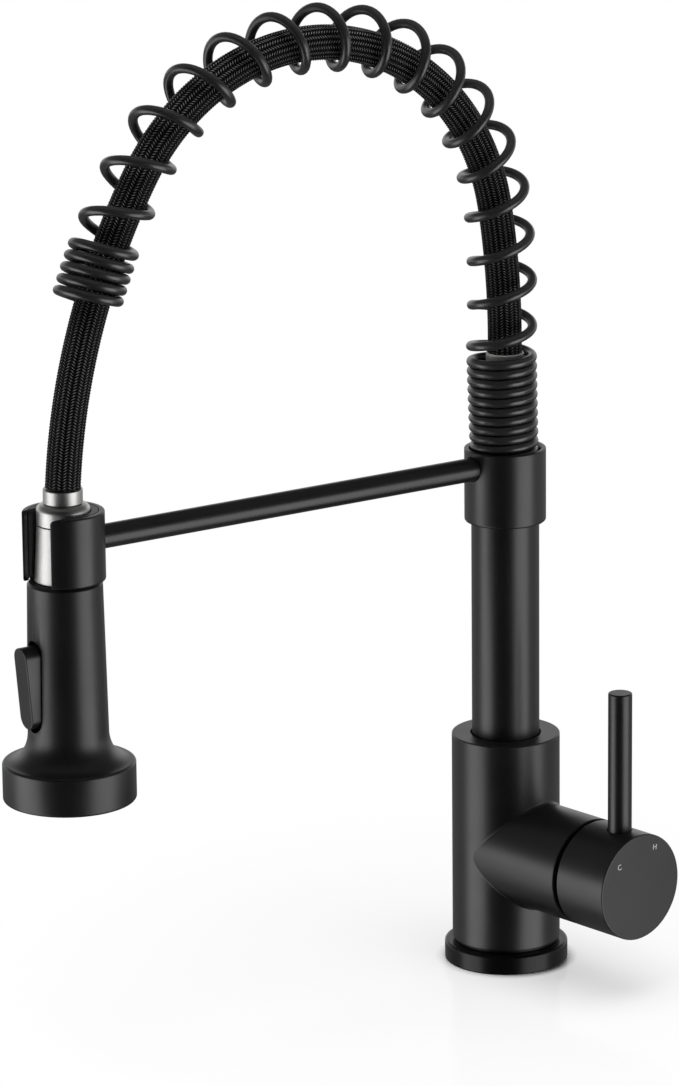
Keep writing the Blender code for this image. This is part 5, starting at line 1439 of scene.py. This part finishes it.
class FAUCET_OT_spring(Operator):
    """Wind the spring along the arch, with close turns at both ends"""

    bl_idname = "faucet.spring"
    bl_label = "Spring"

    def execute(self, context):
        sizes = settings("spring")
        arch = Arch()
        start = sizes.seat + GAP + sizes.wire_radius - arch.right
        end = arch.run_at(arch.end_height - GAP + sizes.free_end)
        spare = end - start - sizes.base_turns * sizes.base_pitch
        spare -= sizes.end_turns * sizes.end_pitch
        open_pitch = spare / sizes.open_turns
        total = sizes.base_turns + sizes.open_turns + sizes.end_turns

        def run_after(turns):
            opened = min(max(turns - sizes.base_turns, 0), sizes.open_turns)
            run = min(turns, sizes.base_turns) * sizes.base_pitch
            run += opened * open_pitch * (1 + sizes.drift * (1 - opened / sizes.open_turns))
            return run + max(turns - sizes.base_turns - sizes.open_turns, 0) * sizes.end_pitch

        leg_end, crown_end = arch.arcs[1][0], arch.arcs[2][0]
        crown = crown_end - leg_end
        shoulder, crest = leg_end + sizes.shoulder * crown, leg_end + sizes.crest * crown
        knots = (start, 0.0, leg_end, shoulder, crest, crown_end, arch.total)
        wide_knots = (start, 0.0, leg_end, crest, arch.total)
        count = round(total * 40)
        places, turned_by, outwards, widths = [], [], [], []
        for k in range(count + 1):
            turns = k * total / count
            # The pitch changes over the turn on either side of each change
            steps = [turns + s * 0.1 for s in range(-4, 5)]
            runs = [run_after(min(max(t, 0), total)) for t in steps]
            run = sum(runs) / len(runs)
            if turns < 0.4 or turns > total - 0.4:
                run = run_after(turns)
            place, turn = arch.at(start + run)
            near = start + np.array(runs)
            lag = float(np.mean(np.interp(near, knots, sizes.lags)))
            widths.append(float(np.mean(np.interp(near, wide_knots, sizes.widening))))
            outward = np.array((0, math.cos(turn), math.sin(turn)))
            places.append(place + outward * lag)
            turned_by.append(turns + sizes.start_turn)
            outwards.append(outward)
        mesh = bpy.data.meshes.new("spring_coil")
        mesh.from_pydata([tuple(p) for p in places], [(k, k + 1) for k in range(count)], [])
        for name, kind, field, values in (
            ("turns", "FLOAT", "value", turned_by), ("widening", "FLOAT", "value", widths),
            ("outward", "FLOAT_VECTOR", "vector", outwards),
        ):
            layer = mesh.attributes.new(name, kind, "POINT")
            layer.data.foreach_set(field, np.array(values, np.float32).ravel())
        spring = bpy.data.objects.new("spring_coil", mesh)
        bpy.context.scene.collection.objects.link(spring)
        wire_sides = 16
        spring_tree().use_on(spring, sizes.coil_radius, sizes.wire_radius, wire_sides)
        spring.data.shade_smooth()
        spring.data.set_sharp_from_angle(angle=math.radians(50))
        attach(spring, "spout")
        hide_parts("spring")
        return {"FINISHED"}


# ---------------------------------------------------------------- finishes of the inner pieces

INNER_FINISHES = {
    "rubber": ("base_gasket", "cartridge_seal", "lower_o_ring", "upper_o_ring", "hose_washer"),
    "plastic": ("cartridge_base", "cartridge_housing", "cartridge_rotor"),
    "ceramic": ("fixed_disc", "moving_disc"),
    "brass": ("cartridge_nut", "lever_stem", "riser_foot", "spring_seat", "hose_connector"),
    "screw": ("spout_retaining_screw", "lever_pin", "handle_grub_screw", "collar_set_screw",
              "trigger_pin", "diverter_spool"),
}


class FAUCET_OT_inner_finishes(Operator):
    """Give each inner piece of the frame its finish"""

    bl_idname = "faucet.inner_finishes"
    bl_label = "Inner Finishes"

    def execute(self, context):
        for finish, names in INNER_FINISHES.items():
            for name in names:
                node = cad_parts[name]
                for place in node.material_slots:
                    place.material = MATERIALS[finish]
        return {"FINISHED"}


# ---------------------------------------------------------------- stage


class FAUCET_OT_stage(Operator):
    """Set the camera, the pale floor, the world and the studio lights"""

    bl_idname = "faucet.stage"
    bl_label = "Stage"

    def execute(self, context):
        scene = bpy.context.scene
        stage = settings("stage")
        scene.view_settings.view_transform = "Standard"
        self.camera(scene)
        self.floor(stage)
        self.world(scene, stage)
        self.lights(scene, stage)
        return {"FINISHED"}

    def camera(self, scene):
        lens = bpy.data.cameras.new("photo_camera")
        lens.sensor_width = 36
        lens.lens = CAMERA_LENS
        lens.shift_y = CAMERA_SHIFT
        lens.clip_end = 50
        camera = bpy.data.objects.new("photo_camera", lens)
        scene.collection.objects.link(camera)
        camera.location = CAMERA_PLACE
        azimuth, pitch, roll = (math.radians(turn) for turn in CAMERA_TURN)
        ahead = Vector((-math.sin(azimuth) * math.cos(pitch),
                        math.cos(azimuth) * math.cos(pitch), -math.sin(pitch)))
        turn = ahead.to_track_quat("-Z", "Y").to_matrix().to_4x4()
        spin = Matrix.Rotation(roll, 4, "Z")
        camera.matrix_world = Matrix.Translation(camera.location) @ turn @ spin
        scene.camera = camera

    def floor(self, stage):
        white = Nodes("pale_floor", tuple(stage.floor), 0.12)
        rays = white.node("ShaderNodeLightPath").outputs
        seen = white.math("MAXIMUM", rays["Is Camera Ray"], rays["Is Glossy Ray"])
        seen = white.math("MAXIMUM", seen, rays["Is Transmission Ray"])
        # The floor's own white grows away from the base, which keeps its shadow and its mirror
        away = white.node("ShaderNodeVectorMath", {0: white.place}, operation="LENGTH")
        glowing = white.spread(away.outputs["Value"], 0.55, 1.0, 0.03, 0.22)
        contact = white.spread(away.outputs["Value"], 0.0, 1.0, 0.0262, 0.0300)
        share = white.math("MULTIPLY", seen, white.math("MULTIPLY", glowing, contact))
        glow = white.node("ShaderNodeEmission", {"Color": WHITE}).outputs["Emission"]
        top = white.node("ShaderNodeMixShader",
                         {"Fac": share, 1: white.shader.outputs["BSDF"], 2: glow})
        # From below the floor is clear, so that the underside of the faucet can be looked at
        below = white.node("ShaderNodeNewGeometry").outputs["Backfacing"]
        clear = white.node("ShaderNodeBsdfTransparent").outputs["BSDF"]
        sides = white.node("ShaderNodeMixShader",
                           {"Fac": below, 1: top.outputs["Shader"], 2: clear})
        surface = white.tree.nodes["Material Output"].inputs["Surface"]
        white.feed(sides.outputs["Shader"], surface)

        size, height = 6.0, -0.0002
        shape = bmesh.new()
        corners = [(-size, -size), (size, -size), (size, size), (-size, size)]
        shape.faces.new([shape.verts.new((x, y, height)) for x, y in corners])
        floor = raw_object("studio_floor", shape)
        floor.data.materials.append(white.material)
        # The side lights reach below the floor, so that upright faces mirror them too
        floor.visible_glossy = False
        floor.visible_shadow = False

    def world(self, scene, stage):
        world = bpy.data.worlds.new("studio_world")
        world.use_nodes = True
        scene.world = world
        sky = Graph(world.node_tree)
        background = sky.tree.nodes["Background"].inputs
        background["Color"].default_value = WHITE

        def fade(value, start, end, low, high):
            return sky.spread(value, low, high, start, end, "SMOOTHSTEP")

        def mixed(factor, first, second):
            made = sky.node("ShaderNodeMix", {"Factor": factor, "A": first, "B": second})
            return made.outputs["Result"]

        # Bright behind the object, dark on the camera's side and overhead
        way = sky.node("ShaderNodeTexCoord").outputs["Generated"]
        towards = sky.node("ShaderNodeVectorMath", {0: way, 1: (0.827, -0.562, 0.0)},
                           operation="DOT_PRODUCT").outputs["Value"]
        height = sky.node("ShaderNodeSeparateXYZ", {"Vector": way}).outputs["Z"]
        level = fade(towards, -0.1, 0.65, stage.world, stage.camera_side)
        below = fade(height, -0.40, 0.15, 0.13, 1.0)
        behind = fade(towards, -0.9, -0.4, 1.0, 0.0)
        aside = fade(height, -0.12, 0.24, 1.0, 0.1)
        overhead = fade(height, 0.26, 0.5, 1.0, 0.02)
        dim = sky.math("MULTIPLY", below, mixed(behind, aside, overhead))
        light = sky.math("MULTIPLY", level, dim)
        # Past the floor's edge the background is the floor's white
        rays = sky.node("ShaderNodeLightPath").outputs
        seen = sky.math("MAXIMUM", rays["Is Camera Ray"], rays["Is Transmission Ray"])
        sky.feed(mixed(seen, light, 1.0), background["Strength"])

    def lights(self, scene, stage):
        target = Vector(LIGHT_TARGET)
        # Name, azimuth, height and distance of each light, its size, its radiance and its gloss
        placed = (
            ("left_softbox", -14.0, -0.31, 1.0, (0.75, 1.0), stage.side_light, True),
            ("right_softbox", 110.0, -0.25, 1.0, (0.92, 1.1), stage.side_light, True),
            ("overhead_softbox", 60.0, 1.6, 0.3, (1.4, 1.4), stage.top_light, False),
        )
        for name, azimuth, height, distance, (width, tall), radiance, glossy in placed:
            lamp = bpy.data.lights.new(name, "AREA")
            lamp.shape = "RECTANGLE"
            lamp.size, lamp.size_y = width, tall
            lamp.energy = radiance * math.pi * width * tall
            light = bpy.data.objects.new(name, lamp)
            scene.collection.objects.link(light)
            light.visible_glossy = glossy
            light.visible_camera = False
            around = math.radians(azimuth)
            light.location = (distance * math.sin(around), -distance * math.cos(around), height)
            light.rotation_mode = "QUATERNION"
            light.rotation_quaternion = (target - light.location).to_track_quat("-Z", "Y")


# ---------------------------------------------------------------- panel and registration

PIECES = (
    FAUCET_OT_stage,
    FAUCET_OT_base_ring,
    FAUCET_OT_valve_body,
    FAUCET_OT_body_fittings,
    FAUCET_OT_hub,
    FAUCET_OT_rod,
    FAUCET_OT_marks,
    FAUCET_OT_riser,
    FAUCET_OT_collar,
    FAUCET_OT_arm,
    FAUCET_OT_docking_ring,
    FAUCET_OT_hose_ends,
    FAUCET_OT_sleeve,
    FAUCET_OT_head_body,
    FAUCET_OT_spray_face,
    FAUCET_OT_trigger,
    FAUCET_OT_hose,
    FAUCET_OT_spring,
    FAUCET_OT_inner_finishes,
)


class FAUCET_PT_pieces(Panel):
    """The faucet's pieces in the sidebar"""

    bl_idname = "FAUCET_PT_pieces"
    bl_label = "Spring Arch Faucet"
    bl_space_type = "VIEW_3D"
    bl_region_type = "UI"
    bl_category = "Faucet"

    def draw(self, context):
        for piece in PIECES:
            self.layout.operator(piece.bl_idname)


CLASSES = (*GROUPS.values(), *PIECES, FAUCET_PT_pieces)


def register():
    for item in CLASSES:
        bpy.utils.register_class(item)
    for name, group in GROUPS.items():
        setattr(bpy.types.Scene, name, PointerProperty(type=group))


def unregister():
    for name in GROUPS:
        delattr(bpy.types.Scene, name)
    for item in reversed(CLASSES):
        bpy.utils.unregister_class(item)


def main():
    register()
    MATERIALS.update(make_materials())
    for piece in PIECES:
        group, name = piece.bl_idname.split(".")
        getattr(getattr(bpy.ops, group), name)()


if __name__ == "__main__":
    main()
